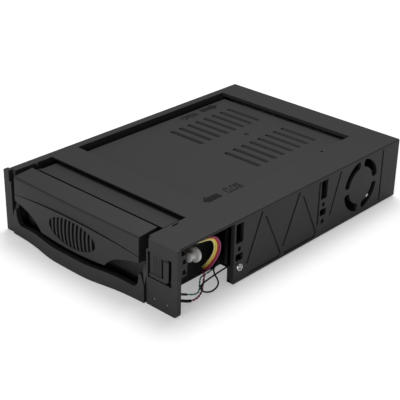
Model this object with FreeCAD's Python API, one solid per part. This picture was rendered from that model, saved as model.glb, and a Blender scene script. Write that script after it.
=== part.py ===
import FreeCAD, Part
import math
import os

# Hot swap drive cage: a fixed frame for a 5.25 inch bay with a sliding 3.5 inch drive tray.
# Working axes: X to the right, Y to the back, Z up, seen from the front.
# The bezel's front face is at y = 0, its lower edge at z = 0 and its middle at x = 0.
# At the end every piece is moved along Y so that the origin is under the middle of the cage.
# All sizes are in millimetres.

V = FreeCAD.Vector

# ---------------------------------------------------------------- driving dimensions

# the drive that the tray takes
DRIVE_W = 101.6            # a 3.5 inch disk
DRIVE_HOLE_IN = 3.175      # its underside's screw holes, in from its sides
DRIVE_HOLE_PITCH = 44.45   # and along it
DRIVE_HOLE_Y = 85.0        # front pair of these holes in the tray
DRIVE_HOLE_R = 1.9

# fixed frame
SIDE_LEFT_W = 6.3          # from the body's left side to the tray bay
SIDE_RIGHT_W = 23.1        # from the tray bay to the body's right side, with the wiring channel
EAR_OUT = 1.5              # each ear stands out past the body's side by this
BEZEL_H = 42.0             # height of the ears
EAR_T = 3.0                # thickness of the ears
EAR_LEFT_SET = 1.1         # the left ear's inner edge lies this far outside the bay
EAR_RIGHT_SET = 0.7        # the right ear's inner edge lies this far outside the bay
EAR_LEFT_STEP = 1.8        # both inner edges step outwards near the top
EAR_RIGHT_STEP = 1.9
EAR_STEP_Z = 35.0          # height of the step in both ears
EAR_BROW = 0.8             # bevel along the right ear's top edge
EAR_CORNER_R = 1.0
EAR_FOOT_R = 3.0           # lower outer corner of the right ear
BODY_LIFT = 1.0            # the frame's underside above the bezel's lower edge
BODY_H = 41.0
BODY_D = 210.0             # depth of the frame behind the ears
WALL = 2.5                 # outer side walls
TOP_T = 2.5                # top plate
DIVIDER_T = 2.3            # inner walls beside the tray bay
DIVIDER_REAR_GAP = 19.0    # the inner walls end this far before the frame's rear
SHELL_EDGE_R = 0.9         # rounded long edges of the top

# openings of the top plate
NOTCH_D = 29.3             # open front of the top plate, behind the ears
BRIDGE_D = 21.1            # cross bar between the notch and the window
WINDOW_REAR_BAR = 20.0     # top plate behind the window
WINDOW_LIP = 3.2           # the top plate's overhang on the bay's right side
TOP_SLIT_W = 1.2
TOP_SLIT_L = 4.7
TOP_SLIT_BACK = 16.5       # from the ears to the slit's start
TOP_HOLE_R = 1.0
TOP_HOLE_FROM_REAR = 53.0
CUT_TOP_T = 1.4            # the top plate is this thin above the wiring cut-out

# standard side holes of a half height 5.25 inch device
MOUNT_PITCH = 79.25
MOUNT_FRONT = 52.4         # first column, behind the bezel's front face
MOUNT_LOW = 10.0           # lower row above the frame's underside
MOUNT_HIGH = 21.84         # upper row above the frame's underside
MOUNT_R = 1.5              # for M3 screws
LADDER_W = 6.4             # upright slots in line with the side holes
LADDER_LOW = (14.3, 18.8)
LADDER_HIGH = (25.8, 38.3)

# right side wall
SIDE_CUT_BACK = 47.8       # rear edge of the wiring cut-out, behind the bezel's face
GROOVE_W = 0.9
GROOVE_DEEP = 0.6
GROOVE_LOW = 2.4           # lower ends of the grooves above the frame's underside
GROOVE_HIGH = 2.2          # upper ends below the frame's top
VENT_FROM_REAR = 41.5      # ring vent: its middle before the frame's rear
VENT_UP = 21.3             # ring vent: middle above the frame's underside
VENT_R = 17.4
VENT_DISC_R = 14.0
VENT_BRIDGE = 4.6
SEAM_FROM_REAR = 18.5      # upright groove near the rear
# slanting grooves at each column of holes: both ends as distance behind the column
# and share of the grooves' height
TRUSS_FRONT = ((7.0, 0.19, 19.5, 1.0), (22.5, 0.89, 38.0, 0.04), (38.0, 0.0, 9.0, 0.0))
TRUSS_BACK = ((-39.0, 0.14, -25.0, 1.0), (-21.7, 0.9, -6.3, 0.04), (-6.3, 0.0, -38.0, 0.0),
              (-5.1, 0.19, -5.1, 1.0), (7.3, 0.25, 16.6, 1.0))

# tray
DRIVE_ROOM = 1.7           # room beside the drive in the tray
TRAY_LIFT = 2.8            # tray underside
TRAY_FRONT = 2.6           # front edge of the tray's side walls
TRAY_REAR_GAP = 27.0       # the tray ends this far before the frame's rear
TRAY_WALL = 2.0
TRAY_FLOOR = 1.6
TRAY_TOP = 37.2
FRONT_WALL_Y = 8.0         # the tray's front wall behind the finger gaps
CHEEK_Z = 24.0             # underside of the side walls in front of the front wall
ARM_GAP = 3.8              # room beside the tray for handle arms and rails
AIR_HALF = 26.0            # half width of the air opening in the tray's front wall
AIR_LIFT = 3.0             # its lower edge above the panel's lower edge
TRAY_SLOTS = 7             # pairs of air slots in the tray's floor
TRAY_SLOT_Y = 34.0
TRAY_SLOT_PITCH = 20.0
TRAY_SLOT_OFF = 22.0       # middle of each slot from the tray's middle
TRAY_SLOT_L = 30.0
AIR_SLOT_W = 4.0           # air slots of the tray's floor and the floor plate
AIR_SLOT_R = 1.9
FLOOR_SLOT_Y = 60.0
FLOOR_SLOT_PITCH = 40.0
FLOOR_SLOT_OFF = 32.0
FLOOR_SLOT_L = 22.0
TRAY_TOP_ROOM = 5.0        # the tray's boards and openings end this far below its top

# runners and rails
RUNNER_OUT = 2.5
RUNNER_Z = 15.5
RUNNER_H = 3.0
RUNNER_FRONT = 50.0
RAIL_FRONT = 40.0
RAIL_REAR_GAP = 2.0        # the rails end this far before the tray
RAIL_WEB = 1.0
RAIL_LOW = 9.0
RAIL_HIGH = 23.0
CLEAR = 0.3                # clearance between separate bodies

# sliding cover
COVER_T = 1.6
COVER_LIFT = 0.2           # running gap on the tray's walls
COVER_INSET = 0.6          # cover narrower than the tray on each side
COVER_GAP = 0.6            # joint between hood and cover
COVER_REAR_GAP = 18.0      # the cover ends this far before the frame's rear
COVER_TRAVEL = 14.0
COVER_RIB = 1.0
COVER_RIB_H = 3.0
SLOT_COUNT = 8
SLOT_PITCH = 8.2
SLOT_W = 1.9
SLOT_L = 27.9
SLOT_OFF = 24.4            # middle of each slot group from the tray's middle
SLOT_FROM_REAR = 75.6      # first slot, before the cover's rear edge
DIMPLE_R = 1.7

# front panel and hood
SEAM_SIDE = 28.5           # height of the seam at the tray's sides
SEAM_RISE = 4.3            # the seam arches up by this in the middle
SEAM_GAP = 0.3
PANEL_SIDE_Y = -1.5
PANEL_BOW = 2.4            # the panel bulges forward by this in the middle
PANEL_T = 2.2
PANEL_RIM = 2.0
PANEL_LOW = 11.9           # lower edge in the middle
PANEL_CORNER = 28.0        # half width of the low part
PANEL_CORNER_Z = 13.2
PANEL_TIP_Z = 24.6         # lower edge at the sides
PANEL_CHEEK_IN = 2.3       # the panel's deep rim ends this far inside the tray's sides
GRILLE_CX = 0.7            # grille middle, right of the tray's middle
GRILLE_Z = 22.8
GRILLE_HALF_W = 20.4
GRILLE_HALF_H = 8.7
GRILLE_BARS = 11
GRILLE_BAR_W = 1.5
GRILLE_BAR_BEND = 1.6
HOOD_FRONT_TOP = 40.8      # height of the front edge of the hood's top
HOOD_REAR_TOP = 41.8
HOOD_REAR = 12.0
HOOD_TOP_Y = -1.2
HOOD_TOP_BOW = 0.6
HOOD_EDGE_R = 1.6
HOOD_T = 2.0

# handle
HANDLE_OVER = 0.2          # the bar reaches this far past its arms
HANDLE_IN = 0.7            # and this far inside them
HANDLE_LOW = 0.2
HANDLE_END_Y = -0.8
HANDLE_BOW = 5.7
HANDLE_BOW_REACH = 31.0
HANDLE_T = 3.2
HANDLE_BAR_Z = 10.7        # top of the bar in the middle
HANDLE_BAR_RISE = 1.3      # the bar's top edge is this much higher beside the middle
HANDLE_DIP_REACH = 24.0    # half width of the dip in that edge
HANDLE_CORNER_R = 5.0
HANDLE_ARM_Z = 18.0        # top of the arms' front face
ARM_T = 3.1
ARM_LIP = 0.4              # gap between arm and tray side
PIVOT_Y = 16.0
PIVOT_Z = 33.0
PIVOT_R = 2.0
PIVOT_PLAY = 0.05
EYE_R = 5.4
PIN_HEAD_R = 3.2
PIN_HEAD_T = 1.2
STUD_R = 1.0
STUD_OUT = 1.4
STUD_Y = 19.7

# switch, its carrier and the lamps in the right ear
WINDOW_LEFT = 1.9          # the window's left edge, outside the bay
WINDOW_RIGHT = 0.5         # its right edge, inside the right wall
WINDOW_Z = (18.1, 34.4)
KNOB_PLAY = 3.4            # the knob plate is this much narrower than the window
KNOB_LEFT = 0.8            # and rests this far from the window's left edge
KNOB_T = 1.3
KNOB_SINK = 0.9            # the knob plate lies this deep behind the ear's face
KNOB_TAB_W = 3.2           # thumb tab along the plate's right edge
KNOB_TAB_OUT = 0.8
KNOB_GROOVE_W = 0.9        # groove beside the tab
KNOB_GROOVE_DEEP = 0.7
KNOB_HIGH = 1.9            # groove, tab and ribs end this far below the plate's top
KNOB_RIM = 2.3             # and above its lower edge
KNOB_RIM_OUT = 0.4         # the rim below them stands out by this
KNOB_RIBS = 4
KNOB_RIB_PITCH = 1.9
KNOB_RIB_HALF = 0.25
KNOB_RIB_OUT = 0.25
KNOB_TRAVEL = 2.2
STEM_W = 3.0
STEM_H = 4.0
STEM_IN = 2.8              # the stem reaches this far into the switch
CARRIER_T = 1.6
CARRIER_BACK = 9.2
SWITCH_H = 8.0
SWITCH_D = 15.0
SWITCH_LESS = 0.2          # the switch is this much narrower than the knob
CAP_OFF = 3.6              # insulating cap on the switch's back, right of the knob's middle
CAP_R = 4.1
CAP_SKIRT = 0.6            # straight part below its dome
CAP_NECK_R = 3.1
CAP_NECK_L = 5.6
CHEEK_LOW = 5.6            # the carrier's cheek starts this high above the window's edge
CHEEK_HIGH = 2.4           # and ends this far below the top plate
HOOK_UP = (8.4, 15.0)      # snap hooks above the window's edge
LAMP_OFF = 4.9             # each lamp from the wiring channel's middle
LAMP_Z = 5.3
LAMP_R = 1.15
LAMP_PLAY = 0.1
LAMP_BODY_R = 2.0

# rear of the cage
FLOOR_T = 1.4
REAR_PANEL_IN = 10.0       # the rear panel stands this far before the frame's rear
REAR_PANEL_T = 2.4
REAR_PANEL_TOP = 36.4
BOARD_IN = 7.0             # and the board this far before the panel
BOARD_T = 1.6
BOARD_LEFT_IN = 2.5        # the board ends this far inside the tray's left side
BOARD_R_GAP = 4.0          # and ends this far from the right outer wall
BOARD_Z = (4.0, 36.2)
BOARD_SCREW_IN = 7.0       # its screws, in from the tray's sides
BOARD_SCREW_Z = (8.5, 31.5)
POST_R = 3.0
SCREW_R = 1.3
SCREW_HEAD_R = 2.6
SCREW_HEAD_T = 1.5
PLUG_W = 70.0
PLUG_H = 4.4
PLUG_Z = 18.0
PLUG_OUT = 7.0             # the plug reaches this far behind the tray
PLUG_ROOT = 3.0            # the tongue starts this far inside the tray's rear edge
PLUG_FOOT = 3.0            # the foot is wider than the tongue on each side
PLUG_FOOT_RISE = 2.0       # and higher
PLUG_FOOT_T = 4.0
PLUG_SLOT_GAP = 0.4
SOCKET_END = 3.5           # the socket is longer than the plug at each end
SOCKET_WALL = 3.0          # and higher above and below
SOCKET_L = 7.7
HEADER_W = 58.0
HEADER_H = 9.2
HEADER_WALL = 1.3
HEADER_OFF = -13.6         # from the tray's middle
HEADER_OUT = 4.5           # the header stands out behind the panel's front face
HEADER_BACK = 3.0          # wall behind its pins
HEADER_KEY_W = 4.6
HEADER_KEY_DEEP = 2.0
INLET_W = 22.4
INLET_H = 11.4
INLET_IN = 15.1            # from the right screws towards the middle
INLET_OUT = 9.0            # the inlet stands out behind the panel's front face
INLET_BACK = 3.5           # wall behind its pins
INLET_BEVEL = 2.6
INLET_WALL = 1.2
REAR_PORT_Z = 18.0
PORT_PLAY = 0.3

# tray board and the socket for the drive
TRAY_BOARD_IN = 5.5        # the board ends this far inside the tray's sides
DATA_X = (-44.0, 12.0)     # data part of the drive's socket, from the tray's middle
DATA_Z = (2.2, 10.2)       # above the tray's floor
DATA_D = 8.0
POWER_X = (12.0, 36.0)
POWER_Z = (1.6, 12.0)
POWER_D = 10.0
DATA_WALL = (1.5, 1.7)     # wall beside and above the data mouth
POWER_WALL = (2.0, 1.8)
DATA_BACK = 2.0            # wall behind each mouth
POWER_BACK = 3.0

# earth screw on the right side
EARTH_R = 1.45
EARTH_HEAD_R = 2.4
EARTH_HEAD_T = 1.4
EARTH_LONG = 7.0

# floor of the wiring channel, with an upright rib behind the cut-out
GUARD_T = 3.0
GUARD_LOW_W = 2.5          # width of the rib at its foot
GUARD_HIGH_W = 5.0         # and above the black wire
GUARD_STEP_Z = 12.0

# wiring in the side channel
CHANNEL_IN = 9.0           # middle of the wiring, inside the right wall
WIRE_R = 0.5
PAIR_R = 0.6               # two thin strands side by side
SLEEVE_R = 3.2
HARNESS_Z = 18.0
HARNESS_PLUG = (8.0, 6.0, 9.0)

# ---------------------------------------------------------------- derived places

TRAY_W = DRIVE_W + 2 * (DRIVE_ROOM + TRAY_WALL)
BODY_W = SIDE_LEFT_W + TRAY_W + 2 * ARM_GAP + SIDE_RIGHT_W
BODY_HALF = BODY_W / 2
BEZEL_HALF = BODY_HALF + EAR_OUT
TRAY_CX = SIDE_LEFT_W + ARM_GAP + TRAY_W / 2 - BODY_HALF
BODY_FRONT = EAR_T
BODY_REAR = BODY_FRONT + BODY_D
TRAY_REAR = BODY_REAR - TRAY_REAR_GAP
COVER_REAR = BODY_REAR - COVER_REAR_GAP
SLOT_START = COVER_REAR - SLOT_FROM_REAR
RAIL_REAR = TRAY_REAR - RAIL_REAR_GAP
VENT_BACK = BODY_REAR - VENT_FROM_REAR
REAR_PANEL_Y = BODY_REAR - REAR_PANEL_IN
BOARD_Y = REAR_PANEL_Y - BOARD_IN
BODY_LOW = BODY_LIFT
BODY_TOP = BODY_LIFT + BODY_H
TOP_UNDER = BODY_TOP - TOP_T
TRAY_L = TRAY_CX - TRAY_W / 2
TRAY_R = TRAY_CX + TRAY_W / 2
TRAY_FLOOR_Z = TRAY_LIFT + TRAY_FLOOR
BAY_L = TRAY_L - ARM_GAP
BAY_R = TRAY_R + ARM_GAP
SIDE_L = BAY_R + DIVIDER_T
SIDE_R = BODY_HALF - WALL
DIVIDER_REAR = BODY_REAR - DIVIDER_REAR_GAP
NOTCH_REAR = BODY_FRONT + NOTCH_D
WINDOW_FRONT = NOTCH_REAR + BRIDGE_D
WINDOW_REAR = BODY_REAR - WINDOW_REAR_BAR
MOUNT_COLUMNS = (MOUNT_FRONT, MOUNT_FRONT + MOUNT_PITCH)
COVER_LOW = TRAY_TOP + COVER_LIFT
COVER_TOP = COVER_LOW + COVER_T
COVER_FRONT = HOOD_REAR + COVER_GAP
ARM_OUTER = TRAY_W / 2 + ARM_LIP + ARM_T
ARM_INNER = TRAY_W / 2 + ARM_LIP
HANDLE_HALF = ARM_OUTER + HANDLE_OVER
HANDLE_INNER = ARM_INNER - HANDLE_IN
PANEL_CHEEK = TRAY_W / 2 - PANEL_CHEEK_IN
CHANNEL_X = SIDE_R - CHANNEL_IN
LAMP_X = (CHANNEL_X - LAMP_OFF, CHANNEL_X + LAMP_OFF)
WINDOW_X = (BAY_R + WINDOW_LEFT, SIDE_R - WINDOW_RIGHT)
KNOB_W = WINDOW_X[1] - WINDOW_X[0] - KNOB_PLAY
KNOB_X = WINDOW_X[0] + KNOB_LEFT + KNOB_W / 2
CAP_X = KNOB_X + CAP_OFF
SWITCH_W = KNOB_W - SWITCH_LESS
KNOB_FACE = KNOB_SINK
KNOB_BACK = KNOB_SINK + KNOB_T
CARRIER_FACE = EAR_T
SWITCH_FACE = CARRIER_FACE + CARRIER_T
SWITCH_BACK = SWITCH_FACE + SWITCH_D
SWITCH_Z = (WINDOW_Z[0] + WINDOW_Z[1]) / 2
BOARD_BACK = BOARD_Y + BOARD_T
BOARD_LEFT = TRAY_L + BOARD_LEFT_IN
BOARD_SCREW_X = TRAY_W / 2 - BOARD_SCREW_IN
HEADER_X = TRAY_CX + HEADER_OFF
INLET_X = TRAY_CX + BOARD_SCREW_X - INLET_IN
HEADER_END = REAR_PANEL_Y + HEADER_OUT
INLET_END = REAR_PANEL_Y + INLET_OUT
PLUG_TIP = TRAY_REAR + PLUG_OUT
SOCKET_FRONT = BOARD_Y - SOCKET_L
TRAY_BOARD_BACK = TRAY_REAR - TRAY_WALL - PLUG_FOOT_T
TRAY_BOARD_FRONT = TRAY_BOARD_BACK - BOARD_T
BOARD_RIGHT = SIDE_R - BOARD_R_GAP
FRONT_MOST = HANDLE_END_Y - HANDLE_BOW
MIDDLE_Y = (FRONT_MOST + BODY_REAR) / 2

# ---------------------------------------------------------------- small helpers


def box(x0, x1, y0, y1, z0, z1):
    return Part.makeBox(x1 - x0, y1 - y0, z1 - z0, V(x0, y0, z0))


def rod_x(radius, x0, x1, y, z):
    return Part.makeCylinder(radius, x1 - x0, V(x0, y, z), V(1, 0, 0))


def rod_y(radius, y0, y1, x, z):
    return Part.makeCylinder(radius, y1 - y0, V(x, y0, z), V(0, 1, 0))


def rod_z(radius, z0, z1, x, y):
    return Part.makeCylinder(radius, z1 - z0, V(x, y, z0), V(0, 0, 1))


def slab_yz(points, x0, x1):
    """Polygon in the YZ plane, drawn out along X."""
    ring = [V(x0, y, z) for y, z in points]
    return Part.Face(Part.makePolygon(ring + ring[:1])).extrude(V(x1 - x0, 0, 0))


def slab_xz(points, y0, y1):
    """Polygon in the XZ plane, drawn out along Y."""
    ring = [V(x, y0, z) for x, z in points]
    return Part.Face(Part.makePolygon(ring + ring[:1])).extrude(V(0, y1 - y0, 0))


def round_along(shape, axis, radius, keep=None):
    """Round the straight edges that run along one axis (0, 1 or 2)."""
    chosen = []
    for edge in shape.Edges:
        if len(edge.Vertexes) != 2:
            continue
        a = edge.Vertexes[0].Point
        b = edge.Vertexes[1].Point
        others = [i for i in range(3) if i != axis]
        if all(abs(a[i] - b[i]) < 1e-6 for i in others) and (keep is None or keep(a)):
            chosen.append(edge)
    return shape.makeFillet(radius, chosen)


def curve(points):
    """Smooth edge through a few points."""
    line = Part.BSplineCurve()
    line.interpolate(points)
    return line.toShape()


def line(a, b):
    return Part.LineSegment(a, b).toShape()


def arc(a, middle, b):
    return Part.Arc(a, middle, b).toShape()


def join(first, *others):
    return first.fuse(list(others)).removeSplitter()


def mirrored(shape):
    """Mirror image across the tray's middle plane."""
    return shape.mirror(V(TRAY_CX, 0, 0), V(1, 0, 0))


# ---------------------------------------------------------------- fixed frame


def side_ladder(x0, x1):
    """The upright slots and screw holes in line above each other, for one side wall."""
    cuts = []
    for y in MOUNT_COLUMNS:
        for low, high in (LADDER_LOW, LADDER_HIGH):
            slot = box(x0, x1, y - LADDER_W / 2, y + LADDER_W / 2, BODY_LOW + low, BODY_LOW + high)
            cuts.append(round_along(slot, 0, 0.8))
        for up in (MOUNT_LOW, MOUNT_HIGH):
            cuts.append(rod_x(MOUNT_R, x0, x1, y, BODY_LOW + up))
    return cuts


def groove(start, end, x0, x1):
    """Shallow straight groove in a side wall between two (y, z) points."""
    dy = end[0] - start[0]
    dz = end[1] - start[1]
    long = math.hypot(dy, dz)
    ny = -dz / long * GROOVE_W / 2
    nz = dy / long * GROOVE_W / 2
    corners = [(start[0] + ny, start[1] + nz), (end[0] + ny, end[1] + nz),
               (end[0] - ny, end[1] - nz), (start[0] - ny, start[1] - nz)]
    return slab_yz(corners, x0, x1)


def truss_grooves(x0, x1):
    """The slanting panel lines between the hole columns and the seam near the rear."""
    low = BODY_LOW + GROOVE_LOW
    tall = BODY_TOP - GROOVE_HIGH - low
    grooves = []
    for column, runs in zip(MOUNT_COLUMNS, (TRUSS_FRONT, TRUSS_BACK)):
        for y0, share0, y1, share1 in runs:
            start = (column + y0, low + share0 * tall)
            end = (column + y1, low + share1 * tall)
            grooves.append(groove(start, end, x0, x1))
    seam = BODY_REAR - SEAM_FROM_REAR
    grooves.append(groove((seam, low), (seam, low + tall), x0, x1))
    return grooves


def ring_vent():
    """Four kidney slots round a solid disc, as a cutter for the right wall."""
    z = BODY_LOW + VENT_UP
    x0 = SIDE_R - 1
    x1 = BODY_HALF + 1
    ring = rod_x(VENT_R, x0, x1, VENT_BACK, z).cut(rod_x(VENT_DISC_R, x0, x1, VENT_BACK, z))
    half = VENT_BRIDGE / 2
    far = VENT_R + 1
    spokes = [box(x0, x1, VENT_BACK - half, VENT_BACK + half, z - far, z + far),
              box(x0, x1, VENT_BACK - far, VENT_BACK + far, z - half, z + half)]
    slots = ring.cut(spokes)
    middle = (VENT_R + VENT_DISC_R) / 2
    cap = (VENT_R - VENT_DISC_R) / 2
    reach = math.asin(half / middle)
    ends = []
    for quarter in range(4):
        for side in (-1, 1):
            angle = quarter * math.pi / 2 + side * reach
            y = VENT_BACK + middle * math.cos(angle)
            ends.append(rod_x(cap, x0, x1, y, z + middle * math.sin(angle)))
    return slots, ends


def frame_shell():
    block = box(-BODY_HALF, BODY_HALF, BODY_FRONT, BODY_REAR, BODY_LOW, BODY_TOP)
    block = round_along(block, 1, SHELL_EDGE_R, lambda p: p.z > BODY_TOP - 0.1)
    ends = (BODY_FRONT - 1, BODY_REAR + 1)
    rooms = [box(-SIDE_R, BAY_L - DIVIDER_T, *ends, BODY_LOW - 1, TOP_UNDER),
             box(BAY_L, BAY_R, *ends, BODY_LOW - 1, TOP_UNDER),
             box(SIDE_L, SIDE_R, *ends, BODY_LOW - 1, TOP_UNDER),
             box(-SIDE_R, SIDE_R, DIVIDER_REAR, BODY_REAR + 1, BODY_LOW - 1, TOP_UNDER)]
    top = [box(BAY_L, BAY_R, BODY_FRONT - 1, NOTCH_REAR, TOP_UNDER - 1, BODY_TOP + 1),
           box(BAY_L, BAY_R - WINDOW_LIP, WINDOW_FRONT, WINDOW_REAR, TOP_UNDER - 1, BODY_TOP + 1),
           box(BAY_R + 1, BAY_R + 1 + TOP_SLIT_W, BODY_FRONT + TOP_SLIT_BACK,
               BODY_FRONT + TOP_SLIT_BACK + TOP_SLIT_L, BODY_TOP - 1, BODY_TOP + 1),
           rod_z(TOP_HOLE_R, BODY_TOP - 1.5, BODY_TOP + 1, BAY_R - WINDOW_LIP + 1.9,
                 BODY_REAR - TOP_HOLE_FROM_REAR)]
    side = [box(SIDE_R - 1, BODY_HALF + 1, BODY_FRONT - 1, SIDE_CUT_BACK,
                BODY_LOW - 1, BODY_TOP - CUT_TOP_T)]
    side += side_ladder(SIDE_R - 1, BODY_HALF + 1)
    side += side_ladder(-BODY_HALF - 1, -SIDE_R + 1)
    side += truss_grooves(BODY_HALF - GROOVE_DEEP, BODY_HALF + 1)
    side += truss_grooves(-BODY_HALF - 1, -BODY_HALF + GROOVE_DEEP)
    slots, ends_of_slots = ring_vent()
    side += [slots] + ends_of_slots
    shell = block.cut(rooms + top + side)
    stud = rod_x(STUD_R, BAY_L - 1, BAY_L + STUD_OUT, STUD_Y, BODY_TOP - STUD_R - 0.1)
    return join(shell, stud, mirrored(stud))


def air_slot(x, long, y, low, thick):
    """Cutter for one round-ended air slot across a flat wall."""
    slot = box(x - long / 2, x + long / 2, y, y + AIR_SLOT_W, low - 1, low + thick + 1)
    return round_along(slot, 2, AIR_SLOT_R)


def floor_plate():
    """Bottom of the tray bay, with three rows of air slots."""
    plate = box(BAY_L, BAY_R, BODY_FRONT, REAR_PANEL_Y, BODY_LOW, BODY_LOW + FLOOR_T)
    slots = []
    for row in range(3):
        y = FLOOR_SLOT_Y + row * FLOOR_SLOT_PITCH
        for column in (-1, 0, 1):
            x = TRAY_CX + column * FLOOR_SLOT_OFF
            slots.append(air_slot(x, FLOOR_SLOT_L, y, BODY_LOW, FLOOR_T))
    return plate.cut(slots)


def channel_floor():
    """Floor of the wiring channel behind the cut-out, with the rib that guards the wires."""
    plate = box(SIDE_L, SIDE_R, SIDE_CUT_BACK, DIVIDER_REAR, BODY_LOW, BODY_LOW + FLOOR_T)
    foot = box(SIDE_R - GUARD_LOW_W, SIDE_R, SIDE_CUT_BACK, SIDE_CUT_BACK + GUARD_T, BODY_LOW, TOP_UNDER)
    upper = box(SIDE_R - GUARD_HIGH_W, SIDE_R, SIDE_CUT_BACK, SIDE_CUT_BACK + GUARD_T,
                GUARD_STEP_Z, TOP_UNDER)
    return join(plate, foot, upper)


def rail():
    """Left guide rail: a channel that holds the tray's runner."""
    body = box(BAY_L, TRAY_L - CLEAR, RAIL_FRONT, RAIL_REAR, RAIL_LOW, RAIL_HIGH)
    track = box(BAY_L + RAIL_WEB, TRAY_L, RAIL_FRONT - 1, RAIL_REAR + 1,
                RUNNER_Z - CLEAR, RUNNER_Z + RUNNER_H + CLEAR)
    flare = [(RAIL_FRONT - 1, RUNNER_Z - 2.4), (RAIL_FRONT + 8, RUNNER_Z + RUNNER_H / 2),
             (RAIL_FRONT - 1, RUNNER_Z + RUNNER_H + 2.4)]
    return body.cut([track, slab_yz(flare, BAY_L + RAIL_WEB, TRAY_L)])


def ear_outline(inner, inner_top, outer, foot_r, thick):
    """One bezel ear, stepped on its inner edge, drawn for the side on which outer lies."""
    points = [(inner, 0), (outer, 0), (outer, BEZEL_H), (inner_top, BEZEL_H),
              (inner_top, EAR_STEP_Z), (inner, EAR_STEP_Z)]
    ear = slab_xz(points, 0, thick)
    ear = round_along(ear, 1, EAR_CORNER_R,
                      lambda p: abs(p.x - outer) < 0.1 and p.z > BEZEL_H - 0.1)
    return round_along(ear, 1, foot_r, lambda p: abs(p.x - outer) < 0.1 and p.z < 0.1)


def front_ear_left():
    inner = BAY_L - EAR_LEFT_SET
    return ear_outline(inner, inner - EAR_LEFT_STEP, -BEZEL_HALF, EAR_CORNER_R, EAR_T)


def front_ear_right():
    inner = BAY_R + EAR_RIGHT_SET
    ear = ear_outline(inner, inner + EAR_RIGHT_STEP, BEZEL_HALF, EAR_FOOT_R, EAR_T)
    opening = box(*WINDOW_X, -1, EAR_T + 1, *WINDOW_Z)
    lamps = [rod_y(LAMP_R + LAMP_PLAY, -1, EAR_T + 1, x, LAMP_Z) for x in LAMP_X]
    brow = slab_yz([(-1, BEZEL_H - EAR_BROW), (EAR_BROW, BEZEL_H + 1), (-1, BEZEL_H + 1)],
                   inner, BEZEL_HALF + 1)
    return ear.cut([opening, brow] + lamps)


def stem_room(y0, y1):
    """Room for the knob's stem over its whole travel."""
    half = STEM_W / 2 + CLEAR
    rise = STEM_H / 2 + CLEAR
    return box(KNOB_X - half, KNOB_X + KNOB_TRAVEL + half, y0, y1, SWITCH_Z - rise, SWITCH_Z + rise)


def switch_carrier():
    """Clip-in plate behind the right ear, with a cheek at the outside and two snap hooks."""
    low = WINDOW_Z[0] + 0.6
    cheek_low = WINDOW_Z[0] + CHEEK_LOW
    plate = box(SIDE_L, SIDE_R + 0.5, CARRIER_FACE, SWITCH_FACE, low, TOP_UNDER)
    cheek_high = TOP_UNDER - CHEEK_HIGH
    cheek = box(SIDE_R, BODY_HALF, CARRIER_FACE, CARRIER_BACK, cheek_low, cheek_high)
    cheek = round_along(cheek, 0, 1.2, lambda p: p.y > CARRIER_BACK - 0.1)
    slot = stem_room(CARRIER_FACE - 1, SWITCH_FACE + 1)
    hooks = []
    for up in HOOK_UP:
        z = WINDOW_Z[0] + up
        hooks.append(box(SIDE_R - 1, BODY_HALF + 1, CARRIER_BACK - 3.6, CARRIER_BACK - 1.4, z - 1.4, z + 1.4))
        hooks.append(box(SIDE_R - 1, BODY_HALF + 1, CARRIER_BACK - 3.6, CARRIER_BACK + 1, z - 1.4, z - 0.7))
    return join(plate, cheek).cut([slot] + hooks)


def slide_switch_body():
    """Metal can of the slide switch, with the slot for the knob's stem."""
    middle = KNOB_X + KNOB_TRAVEL / 2
    can = box(middle - SWITCH_W / 2, middle + SWITCH_W / 2, SWITCH_FACE, SWITCH_BACK,
              SWITCH_Z - SWITCH_H / 2, SWITCH_Z + SWITCH_H / 2)
    return can.cut(stem_room(SWITCH_FACE - 1, SWITCH_FACE + STEM_IN + CLEAR))


def slider_knob():
    """Sliding shutter with a thumb tab, a groove beside it, ribs and a stem into the switch."""
    low = WINDOW_Z[0] + CLEAR
    high = WINDOW_Z[1] - CLEAR
    left = KNOB_X - KNOB_W / 2
    right = KNOB_X + KNOB_W / 2
    plate = box(left, right, KNOB_FACE, KNOB_BACK, low, high)
    tab = box(right - KNOB_TAB_W, right, KNOB_FACE - KNOB_TAB_OUT, KNOB_BACK,
              low + KNOB_RIM, high - KNOB_HIGH)
    tab = round_along(tab, 2, 0.4, lambda p: p.y < KNOB_FACE)
    rim = box(left, right, KNOB_FACE - KNOB_RIM_OUT, KNOB_BACK, low, low + KNOB_RIM)
    ribs = []
    for number in range(KNOB_RIBS):
        x = right - KNOB_TAB_W - KNOB_GROOVE_W - (number + 1) * KNOB_RIB_PITCH
        ribs.append(box(x - KNOB_RIB_HALF, x + KNOB_RIB_HALF, KNOB_FACE - KNOB_RIB_OUT, KNOB_BACK,
                        low + KNOB_RIM, high - KNOB_HIGH))
    stem = box(KNOB_X - STEM_W / 2, KNOB_X + STEM_W / 2, KNOB_BACK - 0.2, SWITCH_FACE + STEM_IN,
               SWITCH_Z - STEM_H / 2, SWITCH_Z + STEM_H / 2)
    furrow = box(right - KNOB_TAB_W - KNOB_GROOVE_W, right - KNOB_TAB_W, KNOB_FACE - 1,
                 KNOB_FACE + KNOB_GROOVE_DEEP, low + KNOB_RIM, high - KNOB_HIGH)
    return join(plate, tab, rim, stem, *ribs).cut(furrow)


def lamp(x):
    """Small round lamp: lens in the ear, wider body behind it."""
    lens = rod_y(LAMP_R, -0.1, EAR_T, x, LAMP_Z)
    body = rod_y(LAMP_BODY_R, EAR_T, EAR_T + 4.2, x, LAMP_Z)
    return lens.fuse(body).removeSplitter()


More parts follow.
